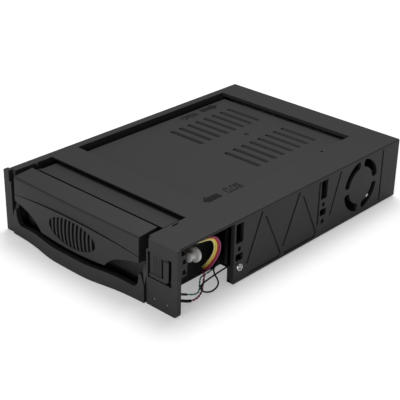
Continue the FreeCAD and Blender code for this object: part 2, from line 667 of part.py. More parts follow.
def wire_cap():
    """Insulating cap on the back of the switch: a dome with a short skirt on a neck."""
    seat = SWITCH_BACK + CAP_NECK_L
    neck = rod_y(CAP_NECK_R, SWITCH_BACK, seat + CAP_SKIRT, CAP_X, SWITCH_Z)
    skirt = rod_y(CAP_R, seat, seat + CAP_SKIRT, CAP_X, SWITCH_Z)
    dome = Part.makeSphere(CAP_R, V(CAP_X, seat + CAP_SKIRT, SWITCH_Z))
    front = box(CAP_X - 2 * CAP_R, CAP_X + 2 * CAP_R, seat - 2 * CAP_R, seat,
                SWITCH_Z - 2 * CAP_R, SWITCH_Z + 2 * CAP_R)
    return join(neck, join(skirt, dome).cut(front))


def rear_panel():
    """Rear wall of the tray bay with screw posts and two plug openings."""
    plate = box(-SIDE_R, SIDE_L, REAR_PANEL_Y, REAR_PANEL_Y + REAR_PANEL_T, BODY_LOW, REAR_PANEL_TOP)
    ports = [port(HEADER_X, HEADER_W, HEADER_H, REAR_PANEL_Y - 1, REAR_PANEL_Y + REAR_PANEL_T + 1),
             port(INLET_X, INLET_W, INLET_H, REAR_PANEL_Y - 1, REAR_PANEL_Y + REAR_PANEL_T + 1)]
    posts = [rod_y(POST_R, BOARD_BACK, REAR_PANEL_Y, x, z) for x, z in board_holes()]
    bores = [rod_y(SCREW_R, BOARD_BACK - 1, REAR_PANEL_Y, x, z) for x, z in board_holes()]
    return join(plate.cut(ports), *posts).cut(bores)


def port(x, wide, high, y0, y1):
    """Rectangular opening a little larger than a connector."""
    return box(x - wide / 2 - PORT_PLAY, x + wide / 2 + PORT_PLAY, y0, y1,
               REAR_PORT_Z - high / 2 - PORT_PLAY, REAR_PORT_Z + high / 2 + PORT_PLAY)


def board_holes():
    return [(TRAY_CX + side * BOARD_SCREW_X, z) for side in (-1, 1) for z in BOARD_SCREW_Z]


def backplane_board():
    board = box(BOARD_LEFT, BOARD_RIGHT, BOARD_Y, BOARD_BACK, *BOARD_Z)
    return board.cut([rod_y(SCREW_R, BOARD_Y - 1, BOARD_BACK + 1, x, z) for x, z in board_holes()])


def backplane_socket():
    """Long socket that takes the tray's plug."""
    half = PLUG_W / 2 + SOCKET_END
    rise = PLUG_H / 2 + SOCKET_WALL
    shell = box(TRAY_CX - half, TRAY_CX + half, SOCKET_FRONT, BOARD_Y, PLUG_Z - rise, PLUG_Z + rise)
    shell = round_along(shell, 1, 1.5)
    mouth = box(TRAY_CX - PLUG_W / 2 - PLUG_SLOT_GAP, TRAY_CX + PLUG_W / 2 + PLUG_SLOT_GAP,
                SOCKET_FRONT - 1, PLUG_TIP + PLUG_SLOT_GAP,
                PLUG_Z - PLUG_H / 2 - PLUG_SLOT_GAP, PLUG_Z + PLUG_H / 2 + PLUG_SLOT_GAP)
    return shell.cut(mouth)


def board_screw(x, z):
    head = rod_y(SCREW_HEAD_R, BOARD_Y - SCREW_HEAD_T, BOARD_Y, x, z)
    shank = rod_y(SCREW_R - 0.03, BOARD_Y - 0.5, REAR_PANEL_Y - 0.6, x, z)
    cross = [box(x - 1.5, x + 1.5, BOARD_Y - SCREW_HEAD_T - 1, BOARD_Y - 0.7, z - 0.3, z + 0.3),
             box(x - 0.3, x + 0.3, BOARD_Y - SCREW_HEAD_T - 1, BOARD_Y - 0.7, z - 1.5, z + 1.5)]
    return head.fuse(shank).removeSplitter().cut(cross)


def data_header():
    """Box header with a key notch in its upper wall."""
    body = box(HEADER_X - HEADER_W / 2, HEADER_X + HEADER_W / 2, BOARD_BACK, HEADER_END,
               REAR_PORT_Z - HEADER_H / 2, REAR_PORT_Z + HEADER_H / 2)
    half = HEADER_W / 2 - HEADER_WALL
    rise = HEADER_H / 2 - HEADER_WALL
    room = box(HEADER_X - half, HEADER_X + half, BOARD_BACK + HEADER_BACK, HEADER_END + 1,
               REAR_PORT_Z - rise, REAR_PORT_Z + rise)
    key = box(HEADER_X - HEADER_KEY_W / 2, HEADER_X + HEADER_KEY_W / 2,
              BOARD_BACK + HEADER_BACK + 1, HEADER_END + 1,
              REAR_PORT_Z + HEADER_H / 2 - HEADER_KEY_DEEP, REAR_PORT_Z + HEADER_H / 2 + 1)
    return body.cut([room, key])


def power_inlet():
    """Four-pin power inlet: a deep shell with two bevelled corners."""
    half = INLET_W / 2
    low = REAR_PORT_Z - INLET_H / 2
    high = REAR_PORT_Z + INLET_H / 2
    bevel = INLET_BEVEL
    rim = INLET_WALL
    outer = [(INLET_X - half, low), (INLET_X + half, low), (INLET_X + half, high - bevel),
             (INLET_X + half - bevel, high), (INLET_X - half + bevel, high),
             (INLET_X - half, high - bevel)]
    inner = [(INLET_X - half + rim, low + rim), (INLET_X + half - rim, low + rim),
             (INLET_X + half - rim, high - bevel), (INLET_X + half - bevel, high - rim),
             (INLET_X - half + bevel, high - rim), (INLET_X - half + rim, high - bevel)]
    shell = slab_xz(outer, BOARD_BACK, INLET_END)
    return shell.cut(slab_xz(inner, BOARD_BACK + INLET_BACK, INLET_END + 1))


def earth_screw():
    """Pan head screw in the lower front hole of the right side."""
    y = MOUNT_COLUMNS[0]
    z = BODY_LOW + MOUNT_LOW
    head = rod_x(EARTH_HEAD_R, BODY_HALF, BODY_HALF + EARTH_HEAD_T, y, z)
    head = head.makeFillet(0.6, [e for e in head.Edges if e.BoundBox.XMin > BODY_HALF + 1])
    shank = rod_x(EARTH_R, BODY_HALF - EARTH_LONG, BODY_HALF + 0.5, y, z)
    cross = [box(BODY_HALF + 0.7, BODY_HALF + 3, y - 1.7, y + 1.7, z - 0.35, z + 0.35),
             box(BODY_HALF + 0.7, BODY_HALF + 3, y - 0.35, y + 0.35, z - 1.7, z + 1.7)]
    return head.fuse(shank).removeSplitter().cut(cross)


# ---------------------------------------------------------------- tray


def tray_tub():
    """Open tray for a 3.5 inch drive, with runners on its sides."""
    outer = box(TRAY_L, TRAY_R, TRAY_FRONT, TRAY_REAR, TRAY_LIFT, TRAY_TOP)
    inner_l = TRAY_L + TRAY_WALL
    inner_r = TRAY_R - TRAY_WALL
    room = box(inner_l, inner_r, FRONT_WALL_Y + TRAY_WALL, TRAY_REAR - TRAY_WALL,
               TRAY_FLOOR_Z, TRAY_TOP + 1)
    gap = [box(TRAY_L - 1, TRAY_R + 1, TRAY_FRONT - 1, FRONT_WALL_Y, TRAY_LIFT - 1, CHEEK_Z),
           box(inner_l, inner_r, TRAY_FRONT - 1, FRONT_WALL_Y, TRAY_LIFT - 1, TRAY_TOP + 1)]
    air = box(TRAY_CX - AIR_HALF, TRAY_CX + AIR_HALF, FRONT_WALL_Y - 1, FRONT_WALL_Y + TRAY_WALL + 1,
              PANEL_LOW + AIR_LIFT, TRAY_TOP - TRAY_TOP_ROOM)
    plug = box(TRAY_CX - PLUG_W / 2, TRAY_CX + PLUG_W / 2, TRAY_REAR - TRAY_WALL - 1, TRAY_REAR + 1,
               PLUG_Z - PLUG_H / 2, PLUG_Z + PLUG_H / 2)
    eye = rod_x(PIVOT_R, TRAY_L - 1, inner_l + 1, PIVOT_Y, PIVOT_Z)
    cuts = [room, air, plug, eye, mirrored(eye)] + gap + floor_slots() + drive_holes()
    runner = box(TRAY_L - RUNNER_OUT, TRAY_L + 0.5, RUNNER_FRONT, TRAY_REAR,
                 RUNNER_Z, RUNNER_Z + RUNNER_H)
    runner = round_along(runner, 0, 1.2, lambda p: p.y < RUNNER_FRONT + 0.1)
    return join(outer.cut(cuts), runner, mirrored(runner))


def floor_slots():
    slots = []
    for row in range(TRAY_SLOTS):
        y = TRAY_SLOT_Y + row * TRAY_SLOT_PITCH
        for side in (-1, 1):
            x = TRAY_CX + side * TRAY_SLOT_OFF
            slots.append(air_slot(x, TRAY_SLOT_L, y, TRAY_LIFT, TRAY_FLOOR))
    return slots


def drive_holes():
    """Screw holes for a 3.5 inch drive in the tray's floor."""
    off = DRIVE_W / 2 - DRIVE_HOLE_IN
    holes = []
    for side in (-1, 1):
        for y in (DRIVE_HOLE_Y, DRIVE_HOLE_Y + DRIVE_HOLE_PITCH):
            holes.append(rod_z(DRIVE_HOLE_R, TRAY_LIFT - 1, TRAY_FLOOR_Z + 1, TRAY_CX + side * off, y))
    return holes


def tray_plug():
    """Edge plug at the tray's rear, with its foot inside the tray."""
    tongue = box(TRAY_CX - PLUG_W / 2, TRAY_CX + PLUG_W / 2, TRAY_REAR - PLUG_ROOT, PLUG_TIP,
                 PLUG_Z - PLUG_H / 2, PLUG_Z + PLUG_H / 2)
    tongue = round_along(tongue, 0, 0.8, lambda p: p.y > PLUG_TIP - 0.1)
    half = PLUG_W / 2 + PLUG_FOOT
    rise = PLUG_H / 2 + PLUG_FOOT_RISE
    foot = box(TRAY_CX - half, TRAY_CX + half, TRAY_BOARD_BACK, TRAY_REAR - TRAY_WALL,
               PLUG_Z - rise, PLUG_Z + rise)
    return join(tongue, foot)


def tray_board():
    """Circuit board standing behind the plug's foot."""
    return box(TRAY_L + TRAY_BOARD_IN, TRAY_R - TRAY_BOARD_IN, TRAY_BOARD_FRONT, TRAY_BOARD_BACK,
               TRAY_FLOOR_Z, TRAY_TOP - TRAY_TOP_ROOM)


def socket_part(across, up, deep, wall):
    """One block in front of the tray board, drawn in by its walls."""
    return box(TRAY_CX + across[0] + wall[0], TRAY_CX + across[1] - wall[0],
               TRAY_BOARD_FRONT - deep, TRAY_BOARD_FRONT,
               TRAY_FLOOR_Z + up[0] + wall[1], TRAY_FLOOR_Z + up[1] - wall[1])


def drive_socket():
    """Socket strip that a drive would plug into, on the front of the tray board."""
    data = socket_part(DATA_X, DATA_Z, DATA_D, (0, 0))
    power = socket_part(POWER_X, POWER_Z, POWER_D, (0, 0))
    mouths = [socket_part(DATA_X, DATA_Z, DATA_D, DATA_WALL).translated(V(0, -DATA_BACK, 0)),
              socket_part(POWER_X, POWER_Z, POWER_D, POWER_WALL).translated(V(0, -POWER_BACK, 0))]
    return join(data, power).cut(mouths)


def handle_pin(side):
    """Shouldered pin through the tray's side wall; the handle's eye turns on it."""
    inner = TRAY_W / 2 - TRAY_WALL
    shaft = rod_x(PIVOT_R - 0.02, TRAY_CX + inner - 0.5, TRAY_CX + ARM_OUTER, PIVOT_Y, PIVOT_Z)
    head = rod_x(PIN_HEAD_R, TRAY_CX + inner - PIN_HEAD_T, TRAY_CX + inner, PIVOT_Y, PIVOT_Z)
    pin = shaft.fuse(head).removeSplitter()
    return pin if side > 0 else mirrored(pin)


def seam_arc(y, lift, half):
    """Arched seam line between panel and hood at depth y."""
    return arc(V(TRAY_CX - half, y, SEAM_SIDE + lift), V(TRAY_CX, y, SEAM_SIDE + SEAM_RISE + lift),
               V(TRAY_CX + half, y, SEAM_SIDE + lift))


def bell_prism(y0, y1, inset):
    """The panel's bell outline, drawn in by inset on all sides."""
    half = TRAY_W / 2 - inset
    corner = PANEL_CORNER - inset
    low = PANEL_LOW + inset
    corner_z = PANEL_CORNER_Z + inset

    def flank(side):
        reach = half - corner
        rise = PANEL_TIP_Z + inset - corner_z
        shape = ((0, 0), (0.11, 0.27), (0.30, 0.58), (0.53, 0.79), (0.79, 0.93), (1, 1))
        points = [V(TRAY_CX + side * (corner + a * reach), y0, corner_z + b * rise) for a, b in shape]
        return points if side > 0 else points[::-1]

    right = flank(1)
    left = flank(-1)
    top = SEAM_SIDE - inset
    edges = [arc(left[-1], V(TRAY_CX, y0, low), right[0]), curve(right),
             line(right[-1], V(TRAY_CX + half, y0, top)),
             seam_arc(y0, -inset, half), line(V(TRAY_CX - half, y0, top), left[0]), curve(left)]
    wire = Part.Wire(Part.__sortEdges__(edges))
    return Part.Face(wire).extrude(V(0, y1 - y0, 0))


def bow_slab(offset, back, z0, z1):
    """Everything behind the panel's bowed face, set back by offset, up to the plane y = back."""
    half = TRAY_W / 2 + 1
    sag = PANEL_BOW * (half / (TRAY_W / 2)) ** 2
    side_y = PANEL_SIDE_Y - PANEL_BOW + sag + offset
    a = V(TRAY_CX - half, side_y, z0)
    b = V(TRAY_CX + half, side_y, z0)
    front = arc(a, V(TRAY_CX, PANEL_SIDE_Y - PANEL_BOW + offset, z0), b)
    c = V(TRAY_CX + half, back, z0)
    d = V(TRAY_CX - half, back, z0)
    wire = Part.Wire([front, line(b, c), line(c, d), line(d, a)])
    return Part.Face(wire).extrude(V(0, 0, z1 - z0))


def ellipse_prism(half_w, half_h, y0, y1):
    x = TRAY_CX + GRILLE_CX
    shape = Part.Ellipse(V(x + half_w, y0, GRILLE_Z), V(x, y0, GRILLE_Z + half_h), V(x, y0, GRILLE_Z))
    face = Part.Face(Part.Wire(shape.toShape()))
    return face.extrude(V(0, y1 - y0, 0))


def grille_bar(x, y0, y1):
    """One upright bar of the grille, bent sideways like a bracket."""
    low = GRILLE_Z - GRILLE_HALF_H - 1
    high = GRILLE_Z + GRILLE_HALF_H + 1
    half = GRILLE_BAR_W / 2
    left = arc(V(x - half, y0, low), V(x - half - GRILLE_BAR_BEND, y0, GRILLE_Z), V(x - half, y0, high))
    right = arc(V(x + half, y0, low), V(x + half - GRILLE_BAR_BEND, y0, GRILLE_Z), V(x + half, y0, high))
    wire = Part.Wire([left, line(V(x - half, y0, high), V(x + half, y0, high)), right,
                      line(V(x + half, y0, low), V(x - half, y0, low))])
    return Part.Face(wire).extrude(V(0, y1 - y0, 0))


def tray_front_panel():
    """Bell-shaped front panel with a deep rim and an oval grille of bent bars."""
    front = PANEL_SIDE_Y - PANEL_BOW - 1
    skin = bell_prism(front, FRONT_WALL_Y, 0).common(bow_slab(0, FRONT_WALL_Y, 0, SEAM_SIDE + SEAM_RISE + 1))
    hollow = bell_prism(front, FRONT_WALL_Y + 1, PANEL_RIM)
    hollow = hollow.common(bow_slab(PANEL_T, FRONT_WALL_Y + 1, 0, SEAM_SIDE + SEAM_RISE + 1))
    trim = [box(TRAY_CX + PANEL_CHEEK, TRAY_R + 1, TRAY_FRONT, FRONT_WALL_Y + 1, 0, BODY_TOP)]
    trim.append(mirrored(trim[0]))
    mouth = ellipse_prism(GRILLE_HALF_W, GRILLE_HALF_H, front, FRONT_WALL_Y)
    panel = skin.cut([hollow, mouth] + trim)
    face_sheet = bow_slab(0.4, 2, 0, BODY_TOP).cut(bow_slab(PANEL_T, 3, -1, BODY_TOP + 1))
    pitch = 2 * GRILLE_HALF_W / (GRILLE_BARS + 1)
    middle = TRAY_CX + GRILLE_CX + GRILLE_BAR_BEND / 2
    bars = []
    for number in range(GRILLE_BARS):
        x = middle + (number - (GRILLE_BARS - 1) / 2) * pitch
        bars.append(grille_bar(x, front, FRONT_WALL_Y))
    reach = ellipse_prism(GRILLE_HALF_W + 0.4, GRILLE_HALF_H + 0.4, front, FRONT_WALL_Y)
    sheets = [bar.common(reach).common(face_sheet) for bar in bars]
    return join(panel, *sheets)


def tray_hood():
    """Cap over the tray's front edge: bowed face, nearly flat top, open behind and below."""
    half = TRAY_W / 2

    def plan(z, side_y, bow):
        a = V(TRAY_CX - half, side_y, z)
        b = V(TRAY_CX + half, side_y, z)
        front = arc(a, V(TRAY_CX, side_y - bow, z), b)
        c = V(TRAY_CX + half, HOOD_REAR, z)
        d = V(TRAY_CX - half, HOOD_REAR, z)
        return Part.Wire([front, line(b, c), line(c, d), line(d, a)])

    low = SEAM_SIDE - 2
    body = Part.makeLoft([plan(low, PANEL_SIDE_Y, PANEL_BOW),
                          plan(HOOD_FRONT_TOP, HOOD_TOP_Y, HOOD_TOP_BOW)], True, True)
    wedge = slab_yz([(HOOD_TOP_Y + 2, HOOD_FRONT_TOP), (HOOD_REAR, HOOD_FRONT_TOP),
                     (HOOD_REAR, HOOD_REAR_TOP)], TRAY_L, TRAY_R)
    edges = [e for e in body.Edges
             if e.BoundBox.ZMin > HOOD_FRONT_TOP - 0.01 and e.BoundBox.YMax < 0]
    body = body.makeFillet(HOOD_EDGE_R, edges)
    front = PANEL_SIDE_Y - PANEL_BOW - 1
    below = Part.Face(Part.Wire([
        seam_arc(front, SEAM_GAP, half),
        line(V(TRAY_R, front, SEAM_SIDE + SEAM_GAP), V(TRAY_R, front, 0)),
        line(V(TRAY_R, front, 0), V(TRAY_L, front, 0)),
        line(V(TRAY_L, front, 0), V(TRAY_L, front, SEAM_SIDE + SEAM_GAP))])).extrude(V(0, 30, 0))
    inside = box(TRAY_L + HOOD_T, TRAY_R - HOOD_T, PANEL_SIDE_Y + HOOD_T, HOOD_REAR + 1,
                 0, HOOD_FRONT_TOP - HOOD_T)
    seat = box(TRAY_L - 1, TRAY_R + 1, TRAY_FRONT, HOOD_REAR + 1, 0, TRAY_TOP)
    return join(body, wedge).cut([below, inside, seat])


def tray_cover():
    """Flat sliding cover with two groups of air slots and a guide rib under each side."""
    x0 = TRAY_L + COVER_INSET
    x1 = TRAY_R - COVER_INSET
    plate = box(x0, x1, COVER_FRONT, COVER_REAR, COVER_LOW, COVER_TOP)
    rib_x = TRAY_L + TRAY_WALL + CLEAR
    rib = box(rib_x, rib_x + COVER_RIB, COVER_FRONT + 12, TRAY_REAR - 26,
              COVER_LOW - COVER_RIB_H, COVER_LOW + 0.4)
    slots = []
    for side in (-1, 1):
        x = TRAY_CX + side * SLOT_OFF
        for number in range(SLOT_COUNT):
            y = SLOT_START + number * SLOT_PITCH
            slot = box(x - SLOT_L / 2, x + SLOT_L / 2, y - SLOT_W / 2, y + SLOT_W / 2,
                       COVER_LOW - 1, COVER_TOP + 1)
            slots.append(round_along(slot, 2, SLOT_W / 2 - 0.05))
    dimple = rod_z(DIMPLE_R, COVER_TOP - 0.6, COVER_TOP + 1, TRAY_CX,
                   SLOT_START + 4 * SLOT_PITCH)
    return join(plate, rib, mirrored(rib)).cut(slots + [dimple])


# ---------------------------------------------------------------- handle


def handle_front_y(x):
    """Depth of the bar's front face: flat in the middle, swept back to the ends."""
    away = (x - TRAY_CX) / HANDLE_BOW_REACH
    return HANDLE_END_Y - HANDLE_BOW / (1 + away ** 4)


def handle_bar_top(x):
    away = (x - TRAY_CX) / HANDLE_DIP_REACH
    return HANDLE_BAR_Z + HANDLE_BAR_RISE * (1 - 1 / (1 + away ** 4))


def spread(half, count):
    """Evenly spaced places from left to right about the tray's middle."""
    return [TRAY_CX - half + 2 * half * i / (count - 1) for i in range(count)]


def handle_plan(z0, z1):
    """Bowed band in plan, as deep as the bar is thick."""
    places = spread(HANDLE_HALF, 15)
    front = [V(x, handle_front_y(x), z0) for x in places]
    back = [V(x, handle_front_y(x) + HANDLE_T, z0) for x in places]
    wire = Part.Wire([curve(front), line(front[-1], back[-1]), curve(back[::-1]), line(back[0], front[0])])
    return Part.Face(wire).extrude(V(0, 0, z1 - z0))


def handle_outline(y0, y1):
    """Front outline of the U: the bar with its wavy top edge and the two short arms."""
    outer_l = TRAY_CX - HANDLE_HALF
    outer_r = TRAY_CX + HANDLE_HALF
    inner_l = TRAY_CX - HANDLE_INNER
    inner_r = TRAY_CX + HANDLE_INNER
    reach = HANDLE_INNER - HANDLE_CORNER_R
    top = [V(x, y0, handle_bar_top(x)) for x in spread(reach, 13)]
    knee = 1 - math.sqrt(0.5)
    r = HANDLE_CORNER_R
    zl = top[0].z
    left_corner = arc(V(inner_l, y0, zl + r), V(inner_l + knee * r, y0, zl + knee * r), top[0])
    right_corner = arc(top[-1], V(inner_r - knee * r, y0, zl + knee * r), V(inner_r, y0, zl + r))
    tip = 1.6
    edges = [line(V(outer_l, y0, HANDLE_LOW), V(outer_l, y0, HANDLE_ARM_Z - 4)),
             line(V(outer_l, y0, HANDLE_ARM_Z - 4), V(inner_l - tip, y0, HANDLE_ARM_Z)),
             line(V(inner_l - tip, y0, HANDLE_ARM_Z), V(inner_l, y0, HANDLE_ARM_Z)),
             line(V(inner_l, y0, HANDLE_ARM_Z), V(inner_l, y0, zl + r)),
             left_corner, curve(top), right_corner,
             line(V(inner_r, y0, zl + r), V(inner_r, y0, HANDLE_ARM_Z)),
             line(V(inner_r, y0, HANDLE_ARM_Z), V(inner_r + tip, y0, HANDLE_ARM_Z)),
             line(V(inner_r + tip, y0, HANDLE_ARM_Z), V(outer_r, y0, HANDLE_ARM_Z - 4)),
             line(V(outer_r, y0, HANDLE_ARM_Z - 4), V(outer_r, y0, HANDLE_LOW)),
             line(V(outer_r, y0, HANDLE_LOW), V(outer_l, y0, HANDLE_LOW))]
    return Part.Face(Part.Wire(edges)).extrude(V(0, y1 - y0, 0))


def handle_arm():
    """Right side plate: leans back from the bar to the eye, with a locking nose behind it."""
    front = handle_front_y(TRAY_CX + HANDLE_HALF)
    back = front + HANDLE_T
    lean = slab_yz([(front, 4.0), (front, 13.2), (front + 3.8, 22.4), (PIVOT_Y - 4.3, PIVOT_Z + 3.3),
                    (PIVOT_Y + 3.9, PIVOT_Z - 3.7), (back + 5.6, 12.0), (back, 4.0)],
                   TRAY_CX + ARM_INNER, TRAY_CX + ARM_OUTER)
    eye = rod_x(EYE_R, TRAY_CX + ARM_INNER, TRAY_CX + ARM_OUTER, PIVOT_Y, PIVOT_Z)
    nose = slab_yz([(PIVOT_Y + 1, PIVOT_Z + 4.8), (PIVOT_Y + 6.6, PIVOT_Z + 4.4),
                    (PIVOT_Y + 7.2, PIVOT_Z + 2.6), (PIVOT_Y + 3.6, PIVOT_Z - 3.0)],
                   TRAY_CX + ARM_INNER, TRAY_CX + ARM_OUTER)
    bore = rod_x(PIVOT_R + PIVOT_PLAY - 0.02, TRAY_CX + ARM_INNER - 1, TRAY_CX + ARM_OUTER + 1,
                 PIVOT_Y, PIVOT_Z)
    return join(lean, eye, nose).cut(bore)


def handle():
    bar = handle_outline(FRONT_MOST - 1, 6).common(handle_plan(0, HANDLE_ARM_Z + 1))
    arm = handle_arm()
    return join(bar, arm, mirrored(arm))


# ---------------------------------------------------------------- wiring


def tube(points, radius, name):
    """Tube along straight runs joined by tangent arcs, and its smallest bend radius."""
    corners = [V(CHANNEL_X + x, y, z) for x, y, z in points]
    edges = []
    at = corners[0]
    smallest = 1e9
    for i in range(1, len(corners) - 1):
        before = corners[i] - corners[i - 1]
        after = corners[i + 1] - corners[i]
        shorter = min(before.Length, after.Length)
        turn = before.getAngle(after)
        bend = 0.45 * shorter / math.tan(turn / 2)
        back = 0.45 * shorter
        smallest = min(smallest, bend)
        u = before.normalize()
        w = after.normalize()
        start = corners[i] - u * back
        end = corners[i] + w * back
        inward = (w - u).normalize()
        middle = corners[i] + inward * (bend / math.cos(turn / 2) - bend)
        edges.append(line(at, start))
        edges.append(arc(start, middle, end))
        at = end
    edges.append(line(at, corners[-1]))
    path = Part.Wire(edges)
    ring = Part.Wire(Part.makeCircle(radius, corners[0], corners[1] - corners[0]))
    solid = path.makePipeShell([ring], True, False)
    want = math.pi * radius ** 2 * path.Length
    print(f"{name}: length {path.Length:.1f}, smallest bend {smallest:.1f}, "
          f"volume ratio {solid.Volume / want:.3f}")
    return solid


def harness_plug():
    """Small plug on the backplane board that takes the sleeve's end."""
    wide, deep, high = HARNESS_PLUG
    return box(CHANNEL_X - wide / 2, CHANNEL_X + wide / 2, BOARD_Y - deep, BOARD_Y,
               HARNESS_Z - high / 2, HARNESS_Z + high / 2)


# The routes: x from the middle of the wiring channel, y from the bezel, z from its lower edge.
# Each point of the bundle also has the step to the next strand beside it.
BUNDLE = [((-3.4, 15.5, SWITCH_Z + SWITCH_H / 2), (1.05, 0.0)),
          ((-3.4, 17.2, 34.4), (1.05, 0.2)),
          ((-1.9, 21.6, 36.8), (1.05, 0.5)),
          ((1.3, 28.4, 37.4), (1.05, 0.5)),
          ((4.0, 34.6, 35.9), (1.05, 0.5)),
          ((4.8, 39.2, 32.2), (1.05, 0.2)),
          ((4.8, 41.6, 27.2), (1.05, 0.0)),
          ((4.0, 41.6, 22.2), (1.05, -0.3)),
          ((1.8, 39.8, 17.2), (0.95, -0.6)),
          ((-0.8, 37.6, 12.4), (0.95, -0.6)),
          ((-3.4, 38.8, 9.2), (0.95, -0.6)),
          ((-4.5, 44.4, 9.2), (1.05, 0.0)),
          ((-4.5, 52.0, 9.6), (1.05, 0.0))]
SLEEVE_FRONT = 52.0
# along the sleeve: share of its depth, x and z
SLEEVE = [(0.0, -4.5, 9.5), (0.09, -4.5, 9.5), (0.23, -3.5, 10.4), (0.43, -1.5, 11.5),
          (0.64, -0.9, 13.5), (0.78, 0.5, 16.6), (0.9, 0.0, HARNESS_Z), (1.0, 0.0, HARNESS_Z)]
LAMP_PAIR = [(4.9, 7.2, 5.3), (5.7, 11.0, 4.1), (7.2, 15.4, 2.3), (7.4, 20.6, 1.3), (6.0, 26.0, 1.2),
             (4.6, 29.2, 3.0), (4.4, 29.9, 6.5), (4.3, 30.8, 9.6), (3.3, 32.2, 12.0),
             (0.4, 34.2, 10.4), (-3.6, 36.8, 6.8), (-5.7, 42.4, 6.4), (-5.7, 52.0, 7.7)]
TEAL_WIRE = [(-4.9, 7.2, 5.3), (-2.8, 9.9, 5.2), (0.9, 14.0, 4.9), (4.5, 17.9, 4.5),
             (6.5, 21.6, 3.8), (5.6, 25.6, 3.6), (3.4, 28.2, 5.6), (1.0, 31.0, 6.8),
             (-1.8, 34.8, 5.8), (-3.9, 39.6, 4.6), (-3.3, 45.4, 5.2), (-3.3, 52.0, 7.6)]
BLACK_LOOP = [(4.5, 52.4, 9.1), (4.8, 46.4, 9.1), (5.4, 39.6, 9.1), (6.5, 30.6, 9.2),
              (7.2, 25.2, 8.8), (7.9, 24.4, 6.0), (8.2, 28.2, 2.9), (8.4, 34.0, 1.3),
              (8.0, 39.2, 2.8), (7.8, 38.8, 6.8), (7.4, 36.2, 11.0), (6.0, 36.8, 13.2),
              (2.6, 41.0, 13.2), (-0.4, 46.6, 12.6), (-3.3, 52.0, 11.4)]


def sleeve():
    """Black sleeve from behind the cut-out to the plug on the board."""
    deep = BOARD_Y - HARNESS_PLUG[1] - SLEEVE_FRONT
    points = [(x, SLEEVE_FRONT + share * deep, z) for share, x, z in SLEEVE]
    return tube(points, SLEEVE_R, "sleeve")


def bundle_wire(step):
    """One strand of the bundle, lying step strands beside its middle line."""
    points = [(x + step * dx, y, z + step * dz) for (x, y, z), (dx, dz) in BUNDLE]
    return tube(points, WIRE_R, f"bundle {step}")


PIECES = {
    "frame_shell": frame_shell,
    "floor_plate": floor_plate,
    "channel_floor": channel_floor,
    "guide_rail_left": rail,
    "guide_rail_right": lambda: mirrored(rail()),
    "front_ear_left": front_ear_left,
    "front_ear_right": front_ear_right,
    "switch_carrier": switch_carrier,
    "slide_switch_body": slide_switch_body,
    "slider_knob": slider_knob,
    "lamp_power": lambda: lamp(LAMP_X[0]),
    "lamp_drive": lambda: lamp(LAMP_X[1]),
    "wire_cap": wire_cap,
    "rear_panel": rear_panel,
    "backplane_board": backplane_board,
    "backplane_socket": backplane_socket,
    "data_header": data_header,
    "power_inlet": power_inlet,
    "earth_screw": earth_screw,
    "tray_tub": tray_tub,
    "tray_plug": tray_plug,
    "tray_board": tray_board,
    "drive_socket": drive_socket,
    "handle_pin_left": lambda: handle_pin(-1),
    "handle_pin_right": lambda: handle_pin(1),
    "tray_front_panel": tray_front_panel,
    "tray_hood": tray_hood,
    "tray_cover": tray_cover,
    "handle": handle,
    "harness_plug": harness_plug,
    "harness_sleeve": sleeve,
    "wire_yellow_a": lambda: bundle_wire(-1.5),
    "wire_yellow_b": lambda: bundle_wire(-0.5),
    "wire_red": lambda: bundle_wire(0.5),
    "wire_rose": lambda: bundle_wire(1.5),
    "wire_lamp_pair": lambda: tube(LAMP_PAIR, PAIR_R, "lamp pair"),
    "wire_teal": lambda: tube(TEAL_WIRE, WIRE_R, "teal"),
    "wire_black_loop": lambda: tube(BLACK_LOOP, WIRE_R, "black loop"),
}


def main():
    os.makedirs("parts", exist_ok=True)
    shapes = {name: make() for name, make in PIECES.items()}
    for number, (x, z) in enumerate(board_holes(), 1):
        shapes[f"board_screw_{number}"] = board_screw(x, z)
    whole = None
    for name, shape in shapes.items():
        solid = shape.copy()
        solid.translate(V(0, -MIDDLE_Y, 0))
        if len(solid.Solids) == 1:
            solid = solid.Solids[0]
        solid.exportStep(f"parts/{name}.step")
        bounds = solid.BoundBox
        whole = bounds if whole is None else whole.united(bounds)
        print(f"{name}: solids {len(shape.Solids)}, valid {shape.isValid()}, volume {shape.Volume:.0f}")
    print(f"box x {whole.XMin:.3f} {whole.XMax:.3f} y {whole.YMin:.3f} {whole.YMax:.3f} "
          f"z {whole.ZMin:.3f} {whole.ZMax:.3f}")
    print(f"origin shift in y {-MIDDLE_Y:.3f}")


main()
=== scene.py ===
import bpy
import bmesh
import math
from mathutils import Matrix, Vector


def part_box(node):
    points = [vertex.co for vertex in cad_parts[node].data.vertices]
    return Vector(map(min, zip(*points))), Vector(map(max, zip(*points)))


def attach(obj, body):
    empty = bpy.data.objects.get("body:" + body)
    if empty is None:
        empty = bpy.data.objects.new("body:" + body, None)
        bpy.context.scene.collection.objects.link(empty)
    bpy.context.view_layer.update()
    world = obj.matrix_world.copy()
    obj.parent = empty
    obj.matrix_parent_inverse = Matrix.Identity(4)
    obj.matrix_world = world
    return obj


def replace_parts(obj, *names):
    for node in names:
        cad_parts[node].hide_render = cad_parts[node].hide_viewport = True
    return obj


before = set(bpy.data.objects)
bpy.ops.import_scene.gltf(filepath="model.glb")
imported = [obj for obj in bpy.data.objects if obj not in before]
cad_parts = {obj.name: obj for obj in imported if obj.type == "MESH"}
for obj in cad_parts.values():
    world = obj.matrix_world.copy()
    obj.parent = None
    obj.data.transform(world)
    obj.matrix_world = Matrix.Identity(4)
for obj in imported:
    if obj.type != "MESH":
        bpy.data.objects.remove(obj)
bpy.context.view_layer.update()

# ---------------------------------------------------------------- fixed frame
# The housing, its ears, the floor plate and the rear wall are injection moulded in black ABS
# with a fine spark-eroded grain. They clip together, so no screw shows on the outside.
# Corners come out of the mould slightly rounded and catch the light.


